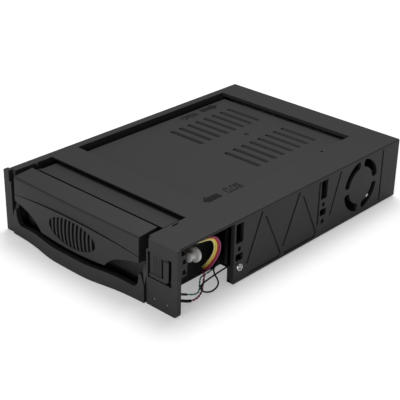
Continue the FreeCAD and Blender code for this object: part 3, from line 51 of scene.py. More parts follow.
def moulded(name, dark, pale, rough, grain, edge=0.00035):
    """Moulded plastic: cloudy colour, fine grain in the surface, softened corners."""
    finish = bpy.data.materials.new(name)
    finish.use_nodes = True
    nodes = finish.node_tree.nodes
    link = finish.node_tree.links.new
    shader = nodes["Principled BSDF"]
    place = nodes.new("ShaderNodeTexCoord").outputs["Object"]

    cloud = nodes.new("ShaderNodeTexNoise")
    cloud.inputs["Scale"].default_value = 28
    cloud.inputs["Detail"].default_value = 5
    tint = nodes.new("ShaderNodeMix")
    tint.data_type = "RGBA"
    tint.inputs["A"].default_value = (*dark, 1)
    tint.inputs["B"].default_value = (*pale, 1)
    sheen = nodes.new("ShaderNodeMapRange")
    sheen.inputs["To Min"].default_value = rough - 0.06
    sheen.inputs["To Max"].default_value = rough + 0.08
    link(place, cloud.inputs["Vector"])
    link(cloud.outputs["Fac"], tint.inputs["Factor"])
    link(tint.outputs["Result"], shader.inputs["Base Color"])
    link(cloud.outputs["Fac"], sheen.inputs["Value"])
    link(sheen.outputs["Result"], shader.inputs["Roughness"])

    spark = nodes.new("ShaderNodeTexNoise")
    spark.inputs["Scale"].default_value = 2600
    spark.inputs["Detail"].default_value = 2
    corner = nodes.new("ShaderNodeBevel")
    corner.samples = 4
    corner.inputs["Radius"].default_value = edge
    bump = nodes.new("ShaderNodeBump")
    bump.inputs["Strength"].default_value = grain
    bump.inputs["Distance"].default_value = 0.00004
    link(place, spark.inputs["Vector"])
    link(spark.outputs["Fac"], bump.inputs["Height"])
    link(corner.outputs["Normal"], bump.inputs["Normal"])
    link(bump.outputs["Normal"], shader.inputs["Normal"])
    return finish


def dress(finish, *names):
    """Give CAD nodes their finish."""
    for name in names:
        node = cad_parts[name]
        for place in node.material_slots:
            place.material = finish
        if not node.material_slots:
            node.data.materials.append(finish)


def keep(mesh, name, body, finishes, sharp=35):
    """Turn a bmesh into a piece that rides on a body and carries the given finishes."""
    if isinstance(mesh, bmesh.types.BMesh):
        data = bpy.data.meshes.new(name)
        bmesh.ops.recalc_face_normals(mesh, faces=mesh.faces)
        mesh.to_mesh(data)
        mesh.free()
    else:
        data = mesh
        data.name = name
    data.shade_smooth()
    data.set_sharp_from_angle(angle=math.radians(sharp))
    piece = bpy.data.objects.new(name, data)
    bpy.context.scene.collection.objects.link(piece)
    data.materials.clear()
    for finish in finishes:
        data.materials.append(finish)
    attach(piece, body)
    return piece


def block(mesh, low, high, bevel=0.0, tint=0):
    """One rounded block between two corners, in metres."""
    size = [b - a for a, b in zip(low, high)]
    middle = [(a + b) / 2 for a, b in zip(low, high)]
    made = bmesh.ops.create_cube(mesh, size=1,
                                 matrix=Matrix.Translation(middle) @ Matrix.Diagonal((*size, 1)))
    faces = {f for v in made["verts"] for f in v.link_faces}
    for face in faces:
        face.material_index = tint
    if bevel:
        edges = dict.fromkeys(e for v in made["verts"] for e in v.link_edges)
        bmesh.ops.bevel(mesh, geom=list(edges), offset=bevel, offset_type="OFFSET", affect="EDGES",
                        segments=2, profile=0.5, material=-1)


def reshaped(node, name, body, finish, move):
    """A piece with the mesh of a CAD node, some of its corners moved, in that node's place."""
    mesh = bmesh.new()
    mesh.from_mesh(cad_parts[node].data)
    bmesh.ops.remove_doubles(mesh, verts=mesh.verts, dist=2e-6)
    for corner in mesh.verts:
        move(corner.co)
    piece = keep(mesh, name, body, [finish])
    piece.data.shade_flat()
    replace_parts(piece, node)


black_abs = moulded("black_abs", (0.0095, 0.0095, 0.0100), (0.0125, 0.0125, 0.0130), 0.55, 0.35)
dress(black_abs, "floor_plate", "front_ear_left", "front_ear_right", "switch_carrier", "rear_panel",
      "tray_tub")

shell_low, shell_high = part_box("frame_shell")
vent_y = shell_high.y - 0.0415
vent_z = shell_low.z + 0.0213
ring_inner, ring_width = 0.0140, 0.0034
open_inner, open_width = 0.0126, 0.0053
spoke_share = 0.88
lip_y = -0.07095
lip_raise = 0.0017
line_half = 0.00045
line_draft = 0.00035
panel_low = shell_low.z + 0.0024
panel_tall = shell_high.z - 0.0022 - panel_low
# Each panel line runs from y0 to y1, in millimetres from its column, between two shares of the
# panel's height.
panel_lines = []
for column, lines in ((-0.05085, ((7.0, 0.19, 19.5, 1.0), (22.5, 0.89, 38.0, 0.04),
                                  (38.0, 0.0, 9.0, 0.0))),
                      (0.0284, ((-39.0, 0.14, -25.0, 1.0), (-21.7, 0.9, -6.3, 0.04), (-6.3, 0.0, -38.0, 0.0),
                                (-5.1, 0.19, -5.1, 1.0), (7.3, 0.25, 16.6, 1.0)))):
    for y0, share0, y1, share1 in lines:
        panel_lines.append((Vector((column + y0 / 1000, panel_low + share0 * panel_tall)),
                            Vector((column + y1 / 1000, panel_low + share1 * panel_tall))))
rear_line = shell_high.y - 0.0185
panel_lines.append((Vector((rear_line, panel_low)), Vector((rear_line, panel_low + panel_tall))))


def soften_shell(place):
    """Widen the panel lines and the ring vent to their full draft, and thin the bridge's lip."""
    if abs(place.y - lip_y) < 0.0001 and 0.0393 < place.z < 0.0397:
        place.z += lip_raise
        return
    spot = Vector((place.y, place.z))
    if abs(place.x) > shell_high.x - 0.0007:
        for start, end in panel_lines:
            along = (end - start).normalized()
            across = Vector((-along.y, along.x))
            off = (spot - start).dot(across)
            down = (spot - start).dot(along)
            if abs(abs(off) - line_half) < 0.00004 and -0.0006 < down < (end - start).length + 0.0006:
                shift = across * math.copysign(line_draft, off)
                place.y += shift.x
                place.z += shift.y
                return
    from_vent = spot - Vector((vent_y, vent_z))
    if place.x > 0.065 and ring_inner - 0.0002 < from_vent.length < ring_inner + ring_width + 0.0002:
        reach = open_inner + (from_vent.length - ring_inner) * open_width / ring_width
        angle = math.atan2(from_vent.y, from_vent.x)
        quarter = math.floor(angle / (math.pi / 2)) * math.pi / 2 + math.pi / 4
        angle = quarter + (angle - quarter) * spoke_share
        place.y = vent_y + reach * math.cos(angle)
        place.z = vent_z + reach * math.sin(angle)


reshaped("frame_shell", "shell_skin", "frame", black_abs, soften_shell)

floor_low, floor_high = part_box("channel_floor")
sheet_top = floor_low.z + 0.0018
strip_x = floor_high.x - 0.0025
rib_x, rib_y, rib_z = floor_high.x - 0.0050, floor_low.y + 0.0030, 0.0120
gutter = bmesh.new()
for low, high in (((floor_low.x, -0.0433, floor_low.z), (floor_high.x, floor_high.y, sheet_top)),
                  ((strip_x, floor_low.y, floor_low.z), (floor_high.x, -0.0432, sheet_top)),
                  ((strip_x, floor_low.y, floor_low.z), (floor_high.x, rib_y, floor_high.z)),
                  ((rib_x, floor_low.y, rib_z), (floor_high.x, rib_y, floor_high.z))):
    block(gutter, low, high, 0.0002)
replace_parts(keep(gutter, "channel_gutter", "frame", [black_abs]), "channel_floor")

rail_abs = moulded("rail_abs", (0.008, 0.008, 0.0085), (0.011, 0.011, 0.0115), 0.45, 0.15)
dress(rail_abs, "guide_rail_left", "guide_rail_right")

# ---------------------------------------------------------------- earth screw and board screws
# Zinc plated steel screws with a cross recess. The pan head on the right side holds the earth
# lead to the housing; the four small ones hold the backplane to its posts.


def plated(name, colour, rough, streak):
    """Plated or rolled metal with a finely streaked surface."""
    finish = bpy.data.materials.new(name)
    finish.use_nodes = True
    nodes = finish.node_tree.nodes
    link = finish.node_tree.links.new
    shader = nodes["Principled BSDF"]
    shader.inputs["Metallic"].default_value = 1.0
    shader.inputs["Base Color"].default_value = (*colour, 1)
    lines = nodes.new("ShaderNodeTexNoise")
    lines.inputs["Scale"].default_value = 900
    lines.inputs["Detail"].default_value = 3
    sheen = nodes.new("ShaderNodeMapRange")
    sheen.inputs["To Min"].default_value = rough - 0.08
    sheen.inputs["To Max"].default_value = rough + 0.10
    corner = nodes.new("ShaderNodeBevel")
    corner.samples = 4
    corner.inputs["Radius"].default_value = 0.00015
    bump = nodes.new("ShaderNodeBump")
    bump.inputs["Strength"].default_value = streak
    bump.inputs["Distance"].default_value = 0.00003
    link(nodes.new("ShaderNodeTexCoord").outputs["Object"], lines.inputs["Vector"])
    link(lines.outputs["Fac"], sheen.inputs["Value"])
    link(sheen.outputs["Result"], shader.inputs["Roughness"])
    link(lines.outputs["Fac"], bump.inputs["Height"])
    link(corner.outputs["Normal"], bump.inputs["Normal"])
    link(bump.outputs["Normal"], shader.inputs["Normal"])
    return finish


def turned(corners, centre, axis, steps):
    """A body of revolution from the corners of its outline."""
    mesh = bmesh.new()
    ring = [mesh.verts.new(corner) for corner in corners]
    for a, b in zip(ring, ring[1:]):
        mesh.edges.new((a, b))
    bmesh.ops.spin(mesh, geom=mesh.verts[:] + mesh.edges[:], cent=centre, axis=axis,
                   angle=2 * math.pi, steps=steps, use_merge=True)
    bmesh.ops.remove_doubles(mesh, verts=mesh.verts, dist=1e-6)
    return mesh


zinc = plated("zinc_plated_steel", (0.62, 0.62, 0.60), 0.32, 0.2)
dress(zinc, "board_screw_1", "board_screw_2", "board_screw_3", "board_screw_4", "handle_pin_left",
      "handle_pin_right")
recess_dark = plated("recess_shade", (0.10, 0.10, 0.10), 0.5, 0.2)
low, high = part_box("earth_screw")
y, z = (low.y + high.y) / 2, (low.z + high.z) / 2
seat = shell_high.x
head_r, shank_r, recess_r = 0.0024, 0.0015, 0.00135
line = [(0.0, high.x - 0.0008), (recess_r, high.x - 0.0008), (shank_r, high.x - 0.0001), (0.0019, high.x),
        (0.0022, high.x - 0.0002), (head_r, high.x - 0.0006), (head_r, seat), (shank_r, seat),
        (shank_r, low.x), (0.0, low.x)]
head = turned([(x, y + r, z) for r, x in line], (0, y, z), (1, 0, 0), 32)
for face in head.faces:
    spot = face.calc_center_median()
    in_recess = math.hypot(spot.y - y, spot.z - z) < recess_r + 0.00007
    face.material_index = int(spot.x > seat and in_recess)
block(head, (high.x - 0.0009, y - 0.0003, z - 0.0012), (high.x - 0.0005, y + 0.0003, z + 0.0012), 0.0001)
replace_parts(keep(head, "earth_screw_head", "frame", [zinc, recess_dark]), "earth_screw")

# ---------------------------------------------------------------- switch knob
# The knob's plate has four fine ribs, a broad groove and a low thumb tab at its right edge. Its
# right corners are cut back, so that the window shows past them.

tab_root, tab_share = -0.10275, 0.25
groove_left, wide_left = 0.0633, 0.0618
groove_right, wider_by = 0.0644, 0.0009
groove_floor, deep_floor = -0.1016, -0.1013
corner_x, corner_cut = 0.06735, 0.0020


def cut_knob(place):
    """Lower the thumb tab, widen and deepen the groove, and cut the right corners back."""
    if place.y < tab_root - 0.00005:
        place.y = tab_root + (place.y - tab_root) * tab_share
    if abs(place.x - groove_left) < 0.0001:
        place.x = wide_left
    elif abs(place.x - groove_right) < 0.0003:
        place.x -= wider_by
    if abs(place.y - groove_floor) < 0.0001:
        place.y = deep_floor
    if place.x > corner_x and not 0.0185 < place.z < 0.0340:
        place.x -= corner_cut


reshaped("slider_knob", "knob_cap", "knob", black_abs, cut_knob)

# ---------------------------------------------------------------- slide switch
# A small slide switch: a folded, plated steel can over a brown fibre base. The can is crimped
# round the base with four tabs, and the solder lugs behind it are hidden under the white cap.

can_low, can_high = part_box("slide_switch_body")
fibre = moulded("fibre_base", (0.030, 0.016, 0.008), (0.045, 0.024, 0.012), 0.6, 0.5)
tinplate = plated("dull_tinplate", (0.30, 0.30, 0.29), 0.42, 0.2)
ends, right_end = 0.0012, 0.0046
can_low = can_low + Vector((0, 0, ends))
can_high = can_high - Vector((right_end, 0, ends))
split = can_high.y - 0.0022
switch = bmesh.new()
block(switch, (can_low.x, can_low.y, can_low.z), (can_high.x, split, can_high.z), 0.0006)
block(switch, (can_low.x + 0.0004, split - 0.0002, can_low.z + 0.0003),
      (can_high.x - 0.0004, can_high.y - 0.0004, can_high.z - 0.0003), 0.0002, 1)
for x in (can_low.x + 0.0030, can_high.x - 0.0030):
    for z0, z1 in ((can_low.z, can_low.z + 0.0005), (can_high.z - 0.0005, can_high.z)):
        block(switch, (x - 0.0012, split - 0.001, z0), (x + 0.0012, can_high.y, z1), 0.0001)
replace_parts(keep(switch, "slide_switch_can", "frame", [tinplate, fibre]), "slide_switch_body")

# ---------------------------------------------------------------- insulating cap on the switch
# A white soft vinyl boot pushed over the soldered lugs. It is dip moulded: a narrow sleeve with
# a rolled end, and a wider rounded nose that gives the joints room.

cap_low, cap_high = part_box("wire_cap")
cap_x = (cap_low.x + cap_high.x) / 2 - 0.0004
cap_z = (cap_low.z + cap_high.z) / 2
cap_r, rim_r, sleeve_r = 0.0046, 0.0028, 0.0021
dome = 0.0022
mouth = cap_low.y + 0.0046
line = [(0.0, cap_low.y), (0.0026, cap_low.y), (rim_r, cap_low.y + 0.0002), (rim_r, cap_low.y + 0.0009),
        (sleeve_r, cap_low.y + 0.0011), (sleeve_r, mouth - 0.0003), (0.0025, mouth),
        (cap_r - 0.0004, mouth), (cap_r, mouth + 0.0004), (cap_r, mouth + 0.0016)]
for step in range(1, 8):
    turn = step * math.pi / 16
    line.append((cap_r * math.cos(turn), mouth + 0.0016 + dome * math.sin(turn)))
line.append((0.0, mouth + 0.0038))
boot = turned([(cap_x + r, y, cap_z) for r, y in line], (cap_x, 0, cap_z), (0, 1, 0), 40)
vinyl = moulded("white_vinyl", (0.84, 0.84, 0.82), (0.90, 0.90, 0.89), 0.38, 0.15)
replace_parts(keep(boot, "switch_boot", "frame", [vinyl], 50), "wire_cap")
dress(vinyl, "harness_plug", "power_inlet")

# ---------------------------------------------------------------- lamps
# Two 3 mm light emitting diodes: cast epoxy with a domed front, a barrel and a wider flange that
# stops them in the ear. The clear resin looks pale grey while they are dark.

epoxy = bpy.data.materials.new("lamp_epoxy")
epoxy.use_nodes = True
nodes = epoxy.node_tree.nodes
link = epoxy.node_tree.links.new
resin = nodes["Principled BSDF"]
resin.inputs["Roughness"].default_value = 0.35
resin.inputs["Subsurface Weight"].default_value = 0.3
resin.inputs["Subsurface Radius"].default_value = (0.001, 0.001, 0.001)
haze = nodes.new("ShaderNodeTexNoise")
haze.inputs["Scale"].default_value = 900
milk = nodes.new("ShaderNodeMix")
milk.data_type = "RGBA"
milk.inputs["A"].default_value = (0.045, 0.045, 0.048, 1)
milk.inputs["B"].default_value = (0.085, 0.085, 0.085, 1)
link(nodes.new("ShaderNodeTexCoord").outputs["Object"], haze.inputs["Vector"])
link(haze.outputs["Fac"], milk.inputs["Factor"])
link(milk.outputs["Result"], resin.inputs["Base Color"])
lens_r, dome = 0.00115, 0.0007
for name in ("lamp_power", "lamp_drive"):
    low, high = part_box(name)
    x, z = (low.x + high.x) / 2, (low.z + high.z) / 2
    flange_r = (high.x - low.x) / 2
    base_r = 0.86 * flange_r
    line = [(0.0, low.y)]
    for step in range(1, 7):
        turn = step * math.pi / 12
        line.append((lens_r * math.sin(turn), low.y + dome * (1 - math.cos(turn))))
    line += [(lens_r, high.y - 0.0042), (flange_r, high.y - 0.0042), (flange_r, high.y - 0.0032),
             (base_r, high.y - 0.0030), (base_r, high.y), (0.0, high.y)]
    lens = turned([(x + r, y, z) for r, y in line], (x, 0, z), (0, 1, 0), 32)
    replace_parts(keep(lens, name + "_lens", "frame", [epoxy]), name)

# ---------------------------------------------------------------- wiring
# Soft PVC covered wires of 1 mm. Four run from the switch in a loop into a black braided
# sleeve, which goes back beside the tray to a plug on the backplane. Two twisted pairs serve the
# lamps, and a spare black lead hangs in a loop.


def vinyl_wire(name, colour, rough=0.38):
    """Soft extruded insulation with a slight shine and small scuffs."""
    finish = bpy.data.materials.new(name)
    finish.use_nodes = True
    nodes = finish.node_tree.nodes
    link = finish.node_tree.links.new
    shader = nodes["Principled BSDF"]
    scuff = nodes.new("ShaderNodeTexNoise")
    scuff.inputs["Scale"].default_value = 420
    scuff.inputs["Detail"].default_value = 4
    tint = nodes.new("ShaderNodeMix")
    tint.data_type = "RGBA"
    tint.inputs["A"].default_value = (*[0.86 * c for c in colour], 1)
    tint.inputs["B"].default_value = (*colour, 1)
    sheen = nodes.new("ShaderNodeMapRange")
    sheen.inputs["To Min"].default_value = rough - 0.08
    sheen.inputs["To Max"].default_value = rough + 0.12
    bump = nodes.new("ShaderNodeBump")
    bump.inputs["Strength"].default_value = 0.15
    bump.inputs["Distance"].default_value = 0.00005
    link(nodes.new("ShaderNodeTexCoord").outputs["Object"], scuff.inputs["Vector"])
    link(scuff.outputs["Fac"], tint.inputs["Factor"])
    link(tint.outputs["Result"], shader.inputs["Base Color"])
    link(scuff.outputs["Fac"], sheen.inputs["Value"])
    link(sheen.outputs["Result"], shader.inputs["Roughness"])
    link(scuff.outputs["Fac"], bump.inputs["Height"])
    link(bump.outputs["Normal"], shader.inputs["Normal"])
    return finish


def route(name, points, radius=0.0, along=10):
    """A smooth line steered by the points, as round as radius."""
    curve = bpy.data.curves.new(name, "CURVE")
    curve.dimensions = "3D"
    curve.resolution_u = along
    curve.bevel_depth = radius
    curve.bevel_resolution = 4
    curve.use_fill_caps = radius > 0
    run = curve.splines.new("NURBS")
    run.points.add(len(points) - 1)
    for spot, (x, y, z) in zip(run.points, points):
        spot.co = (x, y, z, 1)
    run.order_u = 3
    run.use_endpoint_u = True
    run.resolution_u = along
    wire = bpy.data.objects.new(name, curve)
    bpy.context.scene.collection.objects.link(wire)
    return wire


def line_of(name, points, along=10):
    """Places along the smooth line, read from its spline."""
    bare = route(name + "_line", points, 0.0, along)
    bpy.context.view_layer.update()
    traced = bpy.data.meshes.new_from_object(bare)
    spots = [v.co.copy() for v in traced.vertices]
    bpy.data.meshes.remove(traced)
    bpy.data.objects.remove(bare)
    return spots


def lay_wire(name, points, radius, finish, node):
    """A single wire in the place of its CAD solid."""
    wire = route(name, points, radius)
    wire.data.materials.append(finish)
    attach(wire, "frame")
    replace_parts(wire, node)


wire_r, rose_r, teal_r, sleeve_r = 0.0005, 0.00032, 0.00026, 0.0032
yellow = vinyl_wire("wire_yellow", (0.95, 0.78, 0.12))
cream = vinyl_wire("wire_cream", (0.95, 0.86, 0.36))
red = vinyl_wire("wire_red", (0.50, 0.045, 0.025))
rose = vinyl_wire("wire_rose", (0.38, 0.050, 0.17))
dark_rose = vinyl_wire("wire_dark_rose", (0.30, 0.05, 0.10))
teal = vinyl_wire("wire_teal", (0.05, 0.30, 0.30))
slate = vinyl_wire("wire_slate", (0.045, 0.065, 0.075))
black_vinyl = vinyl_wire("wire_black", (0.005, 0.005, 0.006), 0.5)
black_vinyl.node_tree.nodes["Principled BSDF"].inputs["Specular IOR Level"].default_value = 0.2

# Each entry is a place on the bundle's middle line and the step from one wire to the next.
bundle = [((0.0581, -0.08775, 0.03025), (0.00105, 0.0, 0.0)),
          ((0.0615, -0.08500, 0.03430), (0.0006, 0.0006, 0.0)),
          ((0.0660, -0.08220, 0.03660), (0.0002, 0.0009, 0.0002)),
          ((0.0695, -0.07900, 0.03790), (0.0, 0.0010, 0.0002)),
          ((0.0708, -0.07460, 0.03820), (0.0, 0.0010, 0.0002)),
          ((0.0710, -0.07030, 0.03660), (0.0003, 0.0010, 0.0002)),
          ((0.0705, -0.06730, 0.03230), (0.0006, 0.0009, 0.0001)),
          ((0.0699, -0.06630, 0.02780), (0.0008, 0.0007, 0.0)),
          ((0.0690, -0.06690, 0.02360), (0.0009, 0.0006, 0.0)),
          ((0.0672, -0.06830, 0.01920), (0.0010, 0.0003, -0.0002)),
          ((0.0640, -0.06900, 0.01450), (0.00095, 0.0, -0.0005)),
          ((0.0600, -0.06700, 0.01080), (0.00095, 0.0, -0.0005)),
          ((0.0575, -0.06200, 0.00900), (0.00105, 0.0, -0.0002)),
          ((0.0570, -0.05700, 0.00920), (0.00105, 0.0, 0.0)),
          ((0.0570, -0.05125, 0.00960), (0.00105, 0.0, 0.0))]
for name, step, finish, slot in (("wire_yellow_a", -1.5, cream, "wire_yellow"),
                                 ("wire_yellow_b", -0.5, yellow, "wire_yellow"),
                                 ("wire_red", 0.5, red, "wire_red"),
                                 ("wire_rose", 1.5, rose, "wire_rose")):
    points = [tuple(a + step * b for a, b in zip(spot, aside)) for spot, aside in bundle]
    lay_wire(name + "_lead", points, wire_r, finish, name)

black_loop = [(0.0660, -0.05085, 0.00910), (0.0663, -0.05685, 0.00910), (0.0669, -0.06365, 0.00910),
              (0.0680, -0.07265, 0.00920), (0.0687, -0.07805, 0.00880), (0.0694, -0.07885, 0.00600),
              (0.0697, -0.07505, 0.00290), (0.0699, -0.06925, 0.00130), (0.0695, -0.06405, 0.00280),
              (0.0693, -0.06445, 0.00680), (0.0689, -0.06705, 0.01100), (0.0675, -0.06645, 0.01320),
              (0.0641, -0.06225, 0.01320), (0.0611, -0.05665, 0.01260), (0.0582, -0.05125, 0.01140)]
lay_wire("black_loop_lead", black_loop, wire_r, black_vinyl, "wire_black_loop")


def shrink_tube(name, spots, length, radius, finish):
    """Heat shrink tube over the first stretch of a pair."""
    tube = bpy.data.curves.new(name, "CURVE")
    tube.dimensions = "3D"
    tube.bevel_depth = radius
    tube.bevel_resolution = 4
    tube.use_fill_caps = True
    gone = 0.0
    inside = [spots[0]]
    for a, b in zip(spots, spots[1:]):
        gone += (b - a).length
        if gone > length:
            break
        inside.append(b)
    run = tube.splines.new("POLY")
    run.points.add(len(inside) - 1)
    for spot, place in zip(run.points, inside):
        spot.co = (*place, 1)
    holder = bpy.data.objects.new(name + "_line", tube)
    bpy.context.scene.collection.objects.link(holder)
    bpy.context.view_layer.update()
    mesh = bpy.data.meshes.new_from_object(holder)
    bpy.data.objects.remove(holder)
    return keep(mesh, name, "frame", [finish])


def lay_pair(name, points, strand_r, finishes, node, shrink, pitch=0.0055):
    """Two strands twisted round each other along the smooth line, from a shrink tube on."""
    spots = line_of(name, points, 14)
    cover = shrink_tube(name + "_shrink", spots, shrink, 2.7 * strand_r, finishes[2])
    twist = bpy.data.curves.new(name, "CURVE")
    twist.dimensions = "3D"
    twist.bevel_depth = strand_r
    twist.bevel_resolution = 3
    twist.use_fill_caps = True
    for which in range(2):
        turn = which * math.pi
        run = twist.splines.new("NURBS")
        run.points.add(len(spots) - 1)
        side = Vector((0, 0, 1))
        for i, spot in enumerate(spots):
            ahead = (spots[min(i + 1, len(spots) - 1)] - spots[max(i - 1, 0)]).normalized()
            side = (side - ahead * side.dot(ahead)).normalized()
            other = ahead.cross(side)
            place = spot + strand_r * (math.cos(turn) * side + math.sin(turn) * other)
            run.points[i].co = (*place, 1)
            if i + 1 < len(spots):
                turn += (spots[i + 1] - spot).length / pitch * 2 * math.pi
        run.order_u = 3
        run.use_endpoint_u = True
        run.resolution_u = 2
        run.material_index = which
    holder = bpy.data.objects.new(name + "_twist", twist)
    for finish in finishes[:2]:
        twist.materials.append(finish)
    bpy.context.scene.collection.objects.link(holder)
    bpy.context.view_layer.update()
    mesh = bpy.data.meshes.new_from_object(holder)
    bpy.data.objects.remove(holder)
    pair = keep(mesh, name, "frame", finishes[:2])
    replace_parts(pair, node)


lamp_pair = [(0.0664, -0.09605, 0.00530), (0.0672, -0.09225, 0.00410), (0.0687, -0.08785, 0.00230),
             (0.0689, -0.08265, 0.00130), (0.0675, -0.07725, 0.00120), (0.0661, -0.07405, 0.00300),
             (0.0659, -0.07335, 0.00650), (0.0658, -0.07245, 0.00960), (0.0648, -0.07105, 0.01200),
             (0.0619, -0.06905, 0.01040), (0.0579, -0.06645, 0.00680), (0.0558, -0.06085, 0.00640),
             (0.0558, -0.05125, 0.00770)]
lay_pair("lamp_pair_lead", lamp_pair, rose_r, [rose, dark_rose, black_vinyl], "wire_lamp_pair",
         shrink=0.0105)
teal_wire = [(0.0566, -0.09605, 0.00530), (0.0587, -0.09335, 0.00520), (0.0624, -0.08925, 0.00490),
             (0.0660, -0.08535, 0.00450), (0.0680, -0.08165, 0.00380), (0.0671, -0.07765, 0.00360),
             (0.0649, -0.07505, 0.00560), (0.0625, -0.07225, 0.00680), (0.0597, -0.06845, 0.00580),
             (0.0576, -0.06365, 0.00460), (0.0582, -0.05785, 0.00520), (0.0582, -0.05125, 0.00760)]
lay_pair("teal_pair_lead", teal_wire, teal_r, [teal, slate, slate], "wire_teal",
         shrink=0.0135)

sleeve_route = [(0.0570, -0.05125, 0.00950), (0.0570, -0.03883, 0.00950), (0.0580, -0.01951, 0.01040),
                (0.0600, 0.00809, 0.01150), (0.0606, 0.03707, 0.01350), (0.0620, 0.05639, 0.01660),
                (0.0615, 0.07295, 0.01800), (0.0615, 0.08675, 0.01800)]
braid = moulded("black_braid", (0.010, 0.010, 0.011), (0.020, 0.020, 0.021), 0.6, 0.6)
lay_wire("harness_braid", sleeve_route, sleeve_r, braid, "harness_sleeve")

# ---------------------------------------------------------------- tray cover, hood and front panel
# The sliding cover is a flat moulding with crisp edges and sixteen slots with sloping rear walls.
# It stops short of the hood, the upper part of the tray's front, so a gap stays between the two.

dress(black_abs, "tray_front_panel")
cover_abs = moulded("cover_abs", (0.0095, 0.0095, 0.0100), (0.0125, 0.0125, 0.0130), 0.55, 0.35, 0.00015)
cover_low, cover_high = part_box("tray_cover")
hood_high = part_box("tray_hood")[1]
slot_columns = (-0.0328, 0.0160)
slot_rows = [cover_high.y - 0.0756 + number * 0.0082 for number in range(8)]
front_gap, rear_gap = 0.0056, 0.0050
slope, rim = 0.0013, 0.0005
hood_lap = 0.0012


def open_slots(place):
    """Set the cover's front and rear edges back, and slope the slots' rear walls."""
    if place.y < cover_low.y + 0.0001:
        place.y += front_gap
        return
    if place.y > cover_high.y - 0.0001:
        place.y -= rear_gap
        return
    for middle in slot_columns:
        for row in slot_rows:
            if abs(place.y - row) < 0.0011 and abs(place.x - middle) < 0.0142:
                if place.z > cover_high.z - 0.0002:
                    place.y += slope if place.y > row else -rim
                elif place.y > row:
                    place.y -= rim
                place.x += math.copysign(rim, place.x - middle)
                return


def longer_hood(place):
    """Carry the hood's rear edge a little into the gap in front of the cover."""
    if place.y > hood_high.y - 0.0001:
        place.y += hood_lap


reshaped("tray_cover", "cover_plate", "cover", cover_abs, open_slots)
reshaped("tray_hood", "hood_cap", "tray", black_abs, longer_hood)

# ---------------------------------------------------------------- handle
# One stout U, moulded in the same plastic: a bowed bar that is lower towards its ends, so that
# the finger gap deepens there, and two arms with eyes on the tray's pins.

bar_y = -0.0995
bar_x, bar_half = -0.0084, 0.050
bar_foot, bar_top, arm_z = 0.0002, 0.0120, 0.018
drop_middle, drop_ends = 0.0013, 0.0024


def slim_bar(place):
    """Lower the bar's top, most of all near its ends, and fade out towards foot and arms."""
    if place.z > arm_z or place.y > bar_y:
        return
    drop = drop_middle + drop_ends * ((place.x - bar_x) / bar_half) ** 2
    place.z -= drop * min(max(place.z - bar_foot, 0.0) / (bar_top - bar_foot),
                          (arm_z - place.z) / (arm_z - bar_top))


reshaped("handle", "handle_bow", "handle_body", black_abs, slim_bar)

# ---------------------------------------------------------------- marks on the tray cover
# Two words of use with a broad arrow each, one per sliding direction, printed on the cover in a
# matt black lacquer that is a little darker than the plastic.

lacquer = moulded("mark_lacquer", (0.009, 0.009, 0.009), (0.012, 0.012, 0.012), 0.60, 0.1)
lacquer.node_tree.nodes["Principled BSDF"].inputs["Specular IOR Level"].default_value = 0.12
capital_share = 0.7
film = 0.00006


def word(text, x, y, height, long):
    """A word that reads towards the back, from its lower left corner, as loose faces."""
    curve = bpy.data.curves.new(text, "FONT")
    curve.body = text
    curve.size = height / capital_share
    curve.extrude = film
    curve.offset = 0.00018
    curve.resolution_u = 3
    holder = bpy.data.objects.new(text, curve)
    bpy.context.scene.collection.objects.link(holder)
    bpy.context.view_layer.update()
    mesh = bpy.data.meshes.new_from_object(holder)
    bpy.data.objects.remove(holder)
    reach = max(v.co.x for v in mesh.vertices)
    mesh.transform(Matrix.Translation((x, y, cover_high.z)) @ Matrix.Rotation(math.pi / 2, 4, "Z")
                   @ Matrix.Diagonal((long / reach, 1, 1, 1)))
    return mesh


def arrow(mesh, x, y, long, wide, way):
    """A broad arrow with a stout shaft, lying on the cover and pointing along way * Y."""
    outline = [(0.0, long), (wide / 2, 0.64 * long), (0.28 * wide, 0.64 * long), (0.28 * wide, 0.0),
               (-0.28 * wide, 0.0), (-0.28 * wide, 0.64 * long), (-wide / 2, 0.64 * long)]
    corners = [mesh.verts.new((x + a, y + way * b, cover_high.z - film)) for a, b in outline]
    face = mesh.faces.new(corners)
    up = bmesh.ops.extrude_face_region(mesh, geom=[face])
    bmesh.ops.translate(mesh, verts=[v for v in up["geom"] if isinstance(v, bmesh.types.BMVert)],
                        vec=(0, 0, 2 * film))


marks = bmesh.new()
marks.from_mesh(word("OPEN", -0.0542, 0.0364, 0.0054, 0.0152))
arrow(marks, -0.0579, 0.0570, 0.0166, 0.0084, 1)
marks.from_mesh(word("CLOSE", 0.0427, -0.0262, 0.0068, 0.0142))
arrow(marks, 0.0398, -0.0316, 0.0142, 0.0092, -1)
keep(marks, "cover_marks", "cover", [lacquer])

# ---------------------------------------------------------------- boards
# Glass fibre boards under green solder resist. The backplane stands across the rear of the bay
# and the tray carries its own; both hold black chips and a row of small ceramic ones.

resist = moulded("green_resist", (0.006, 0.050, 0.020), (0.012, 0.085, 0.034), 0.28, 0.25)
dress(resist, "backplane_board", "tray_board")
chip_black = moulded("chip_black", (0.012, 0.012, 0.012), (0.018, 0.018, 0.018), 0.5, 0.6)
ceramic = moulded("chip_ceramic", (0.32, 0.24, 0.14), (0.42, 0.32, 0.20), 0.5, 0.3)
tin = plated("tinned_contacts", (0.66, 0.66, 0.64), 0.28, 0.15)
gold = plated("gold_contacts", (0.80, 0.58, 0.24), 0.25, 0.1)


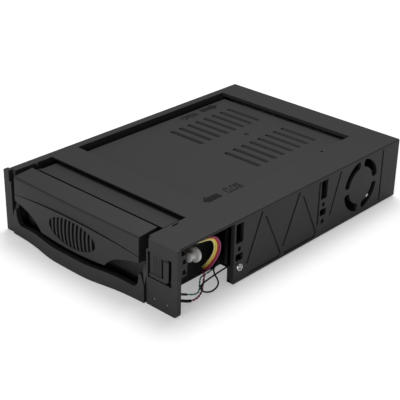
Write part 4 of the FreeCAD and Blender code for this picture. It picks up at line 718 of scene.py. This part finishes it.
def chip(mesh, x, y, z, wide, high, legs):
    """A flat chip on a standing board's front: body, and legs along both long sides."""
    block(mesh, (x - wide / 2, y - 0.0017, z - high / 2), (x + wide / 2, y - 0.0002, z + high / 2), 0.0002)
    for number in range(legs):
        place = x - wide / 2 + wide * (number + 0.5) / legs
        for side in (-1, 1):
            edge = z + side * high / 2
            block(mesh, (place - 0.00022, y - 0.0008, min(edge, edge + side * 0.0011)),
                  (place + 0.00022, y, max(edge, edge + side * 0.0011)), 0, 1)


for name, body, node, spots in (
        ("backplane_parts", "frame", "backplane_board",
         ((-0.045, 0.031, 0.009, 0.0055, 8), (-0.020, 0.0305, 0.006, 0.004, 4),
          (0.012, 0.031, 0.011, 0.006, 10))),
        ("tray_board_parts", "tray", "tray_board",
         ((-0.030, 0.0265, 0.010, 0.006, 9), (0.004, 0.0265, 0.006, 0.004, 4),
          (0.024, 0.0270, 0.008, 0.005, 7)))):
    low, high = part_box(node)
    parts = bmesh.new()
    for x, z, wide, tall, legs in spots:
        chip(parts, x, low.y, z, wide, tall, legs)
    for number in range(12):
        x = low.x + 0.006 + number * (high.x - low.x - 0.012) / 11
        z = high.z - 0.0035 - 0.0012 * (number % 3)
        block(parts, (x - 0.0008, low.y - 0.0008, z - 0.0005), (x + 0.0008, low.y, z + 0.0005), 0.0001, 2)
        for left, right in ((-0.0010, -0.0007), (0.0007, 0.0010)):
            block(parts, (x + left, low.y - 0.00075, z - 0.00055), (x + right, low.y, z + 0.00055), 0, 1)
    keep(parts, name, body, [chip_black, tin, ceramic])

# ---------------------------------------------------------------- connectors
# Glass filled black nylon housings with plated contacts: the tray's plug meets the backplane's
# socket, the drive's socket stands on the tray board, and two plugs enter from the rear.

nylon = moulded("black_nylon", (0.014, 0.014, 0.015), (0.020, 0.020, 0.021), 0.4, 0.25)
dress(nylon, "backplane_socket", "data_header", "tray_plug", "drive_socket")

low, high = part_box("data_header")
middle = Vector(((low.x + high.x) / 2, 0, (low.z + high.z) / 2))
pin_half = 0.00032
pins = bmesh.new()
for number in range(20):
    x = middle.x + (number - 9.5) * 0.00254
    for side in (-1, 1):
        z = middle.z + side * 0.00127
        block(pins, (x - pin_half, low.y + 0.0028, z - pin_half),
              (x + pin_half, high.y - 0.0022, z + pin_half), 0.0001)
keep(pins, "data_header_pins", "frame", [gold])

low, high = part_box("power_inlet")
middle = Vector(((low.x + high.x) / 2, 0, (low.z + high.z) / 2))
pin_r = 0.00105
pins = bmesh.new()
for number in range(4):
    place = (middle.x + (number - 1.5) * 0.00508, low.y + 0.0079, middle.z)
    rod = bmesh.ops.create_cone(pins, cap_ends=True, segments=20, radius1=pin_r, radius2=pin_r,
                                depth=0.0092,
                                matrix=Matrix.Translation(place) @ Matrix.Rotation(math.pi / 2, 4, "X"))
    rim = dict.fromkeys(e for v in rod["verts"] for e in v.link_edges if len(e.link_faces) == 2
                        and {len(f.verts) for f in e.link_faces} == {4, 20})
    bmesh.ops.bevel(pins, geom=list(rim), offset=0.0004, offset_type="OFFSET", affect="EDGES", segments=3,
                    profile=0.5, material=-1)
keep(pins, "power_inlet_pins", "frame", [tin])

low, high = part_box("tray_plug")
middle = Vector(((low.x + high.x) / 2, 0, (low.z + high.z) / 2))
fingers = bmesh.new()
for number in range(40):
    x = middle.x + (number - 19.5) * 0.00168
    for side in (-1, 1):
        face = middle.z + side * 0.0022
        block(fingers, (x - 0.0005, high.y - 0.0062, min(face, face + side * 0.00006)),
              (x + 0.0005, high.y - 0.0010, max(face, face + side * 0.00006)))
keep(fingers, "plug_fingers", "tray", [gold])

# ---------------------------------------------------------------- studio
# A seamless pale sweep under soft light from above, with the camera on a tripod to the right of
# the front. Nothing here belongs to the cage.

sweep_mesh = bmesh.new()
bmesh.ops.create_grid(sweep_mesh, x_segments=1, y_segments=1, size=6)
sweep_data = bpy.data.meshes.new("sweep")
sweep_mesh.to_mesh(sweep_data)
sweep_mesh.free()
sweep = bpy.data.objects.new("sweep", sweep_data)
bpy.context.scene.collection.objects.link(sweep)
paper = bpy.data.materials.new("paper")
paper.use_nodes = True
nodes = paper.node_tree.nodes
link = paper.node_tree.links.new
sheet = nodes["Principled BSDF"]
sheet.inputs["Base Color"].default_value = (0.90, 0.90, 0.90, 1)
sheet.inputs["Roughness"].default_value = 0.9
sheet.inputs["Specular IOR Level"].default_value = 0.0
glow = nodes.new("ShaderNodeEmission")
glow.inputs["Strength"].default_value = 0.35
ray = nodes.new("ShaderNodeLightPath")
faint = nodes.new("ShaderNodeMath")
faint.operation = "MULTIPLY"
faint.inputs[1].default_value = 0.10
seen = nodes.new("ShaderNodeMath")
seen.operation = "MAXIMUM"
both = nodes.new("ShaderNodeAddShader")
pick = nodes.new("ShaderNodeMixShader")
link(ray.outputs["Is Camera Ray"], seen.inputs[0])
link(ray.outputs["Is Glossy Ray"], faint.inputs[0])
link(faint.outputs["Value"], seen.inputs[1])
link(sheet.outputs["BSDF"], both.inputs[0])
link(glow.outputs["Emission"], both.inputs[1])
link(seen.outputs["Value"], pick.inputs["Fac"])
link(sheet.outputs["BSDF"], pick.inputs[1])
link(both.outputs["Shader"], pick.inputs[2])
link(pick.outputs["Shader"], nodes["Material Output"].inputs["Surface"])
sweep_data.materials.append(paper)

world = bpy.data.worlds.new("studio")
bpy.context.scene.world = world
world.use_nodes = True
nodes = world.node_tree.nodes
link = world.node_tree.links.new
room = nodes["Background"]
room.inputs["Color"].default_value = (1, 1, 1, 1)
room.inputs["Strength"].default_value = 0.29
white = nodes.new("ShaderNodeBackground")
white.inputs["Strength"].default_value = 1.0
ray = nodes.new("ShaderNodeLightPath")
pick = nodes.new("ShaderNodeMixShader")
link(ray.outputs["Is Camera Ray"], pick.inputs["Fac"])
link(room.outputs["Background"], pick.inputs[1])
link(white.outputs["Background"], pick.inputs[2])
link(pick.outputs["Shader"], nodes["World Output"].inputs["Surface"])


def soft_box(name, place, aim, size, watts):
    """A square soft box pointing at a place."""
    light = bpy.data.lights.new(name, "AREA")
    light.shape = "SQUARE"
    light.size = size
    light.energy = watts
    lamp = bpy.data.objects.new(name, light)
    bpy.context.scene.collection.objects.link(lamp)
    lamp.location = place
    lamp.rotation_euler = (Vector(aim) - Vector(place)).to_track_quat("-Z", "Y").to_euler()


soft_box("key", (-0.25, 0.40, 1.30), (0, 0, 0.02), 0.7, 10.0)
soft_box("front_fill", (0.15, -1.4, 0.15), (0, 0, 0.02), 0.7, 12.0)

camera = bpy.data.objects.new("camera", bpy.data.cameras.new("camera"))
bpy.context.scene.collection.objects.link(camera)
bpy.context.scene.camera = camera
turn, tilt, roll = math.radians(42.505), math.radians(26.731), math.radians(1.118)
target = Vector((0.0110, -0.0173, 0.020))
distance = 0.6597
back = Vector((math.sin(turn) * math.cos(tilt), -math.cos(turn) * math.cos(tilt), math.sin(tilt)))
right = Vector((math.cos(turn), math.sin(turn), 0))
up = back.cross(right)
across = math.cos(roll) * right + math.sin(roll) * up
upright = math.cos(roll) * up - math.sin(roll) * right
stance = Matrix((across, upright, back)).transposed().to_quaternion()
camera.matrix_world = Matrix.LocRotScale(target + back * distance, stance, None)
camera.data.lens = 94.54
camera.data.sensor_width = 36
camera.data.clip_start = 0.01
bpy.context.scene.view_settings.view_transform = "Standard"
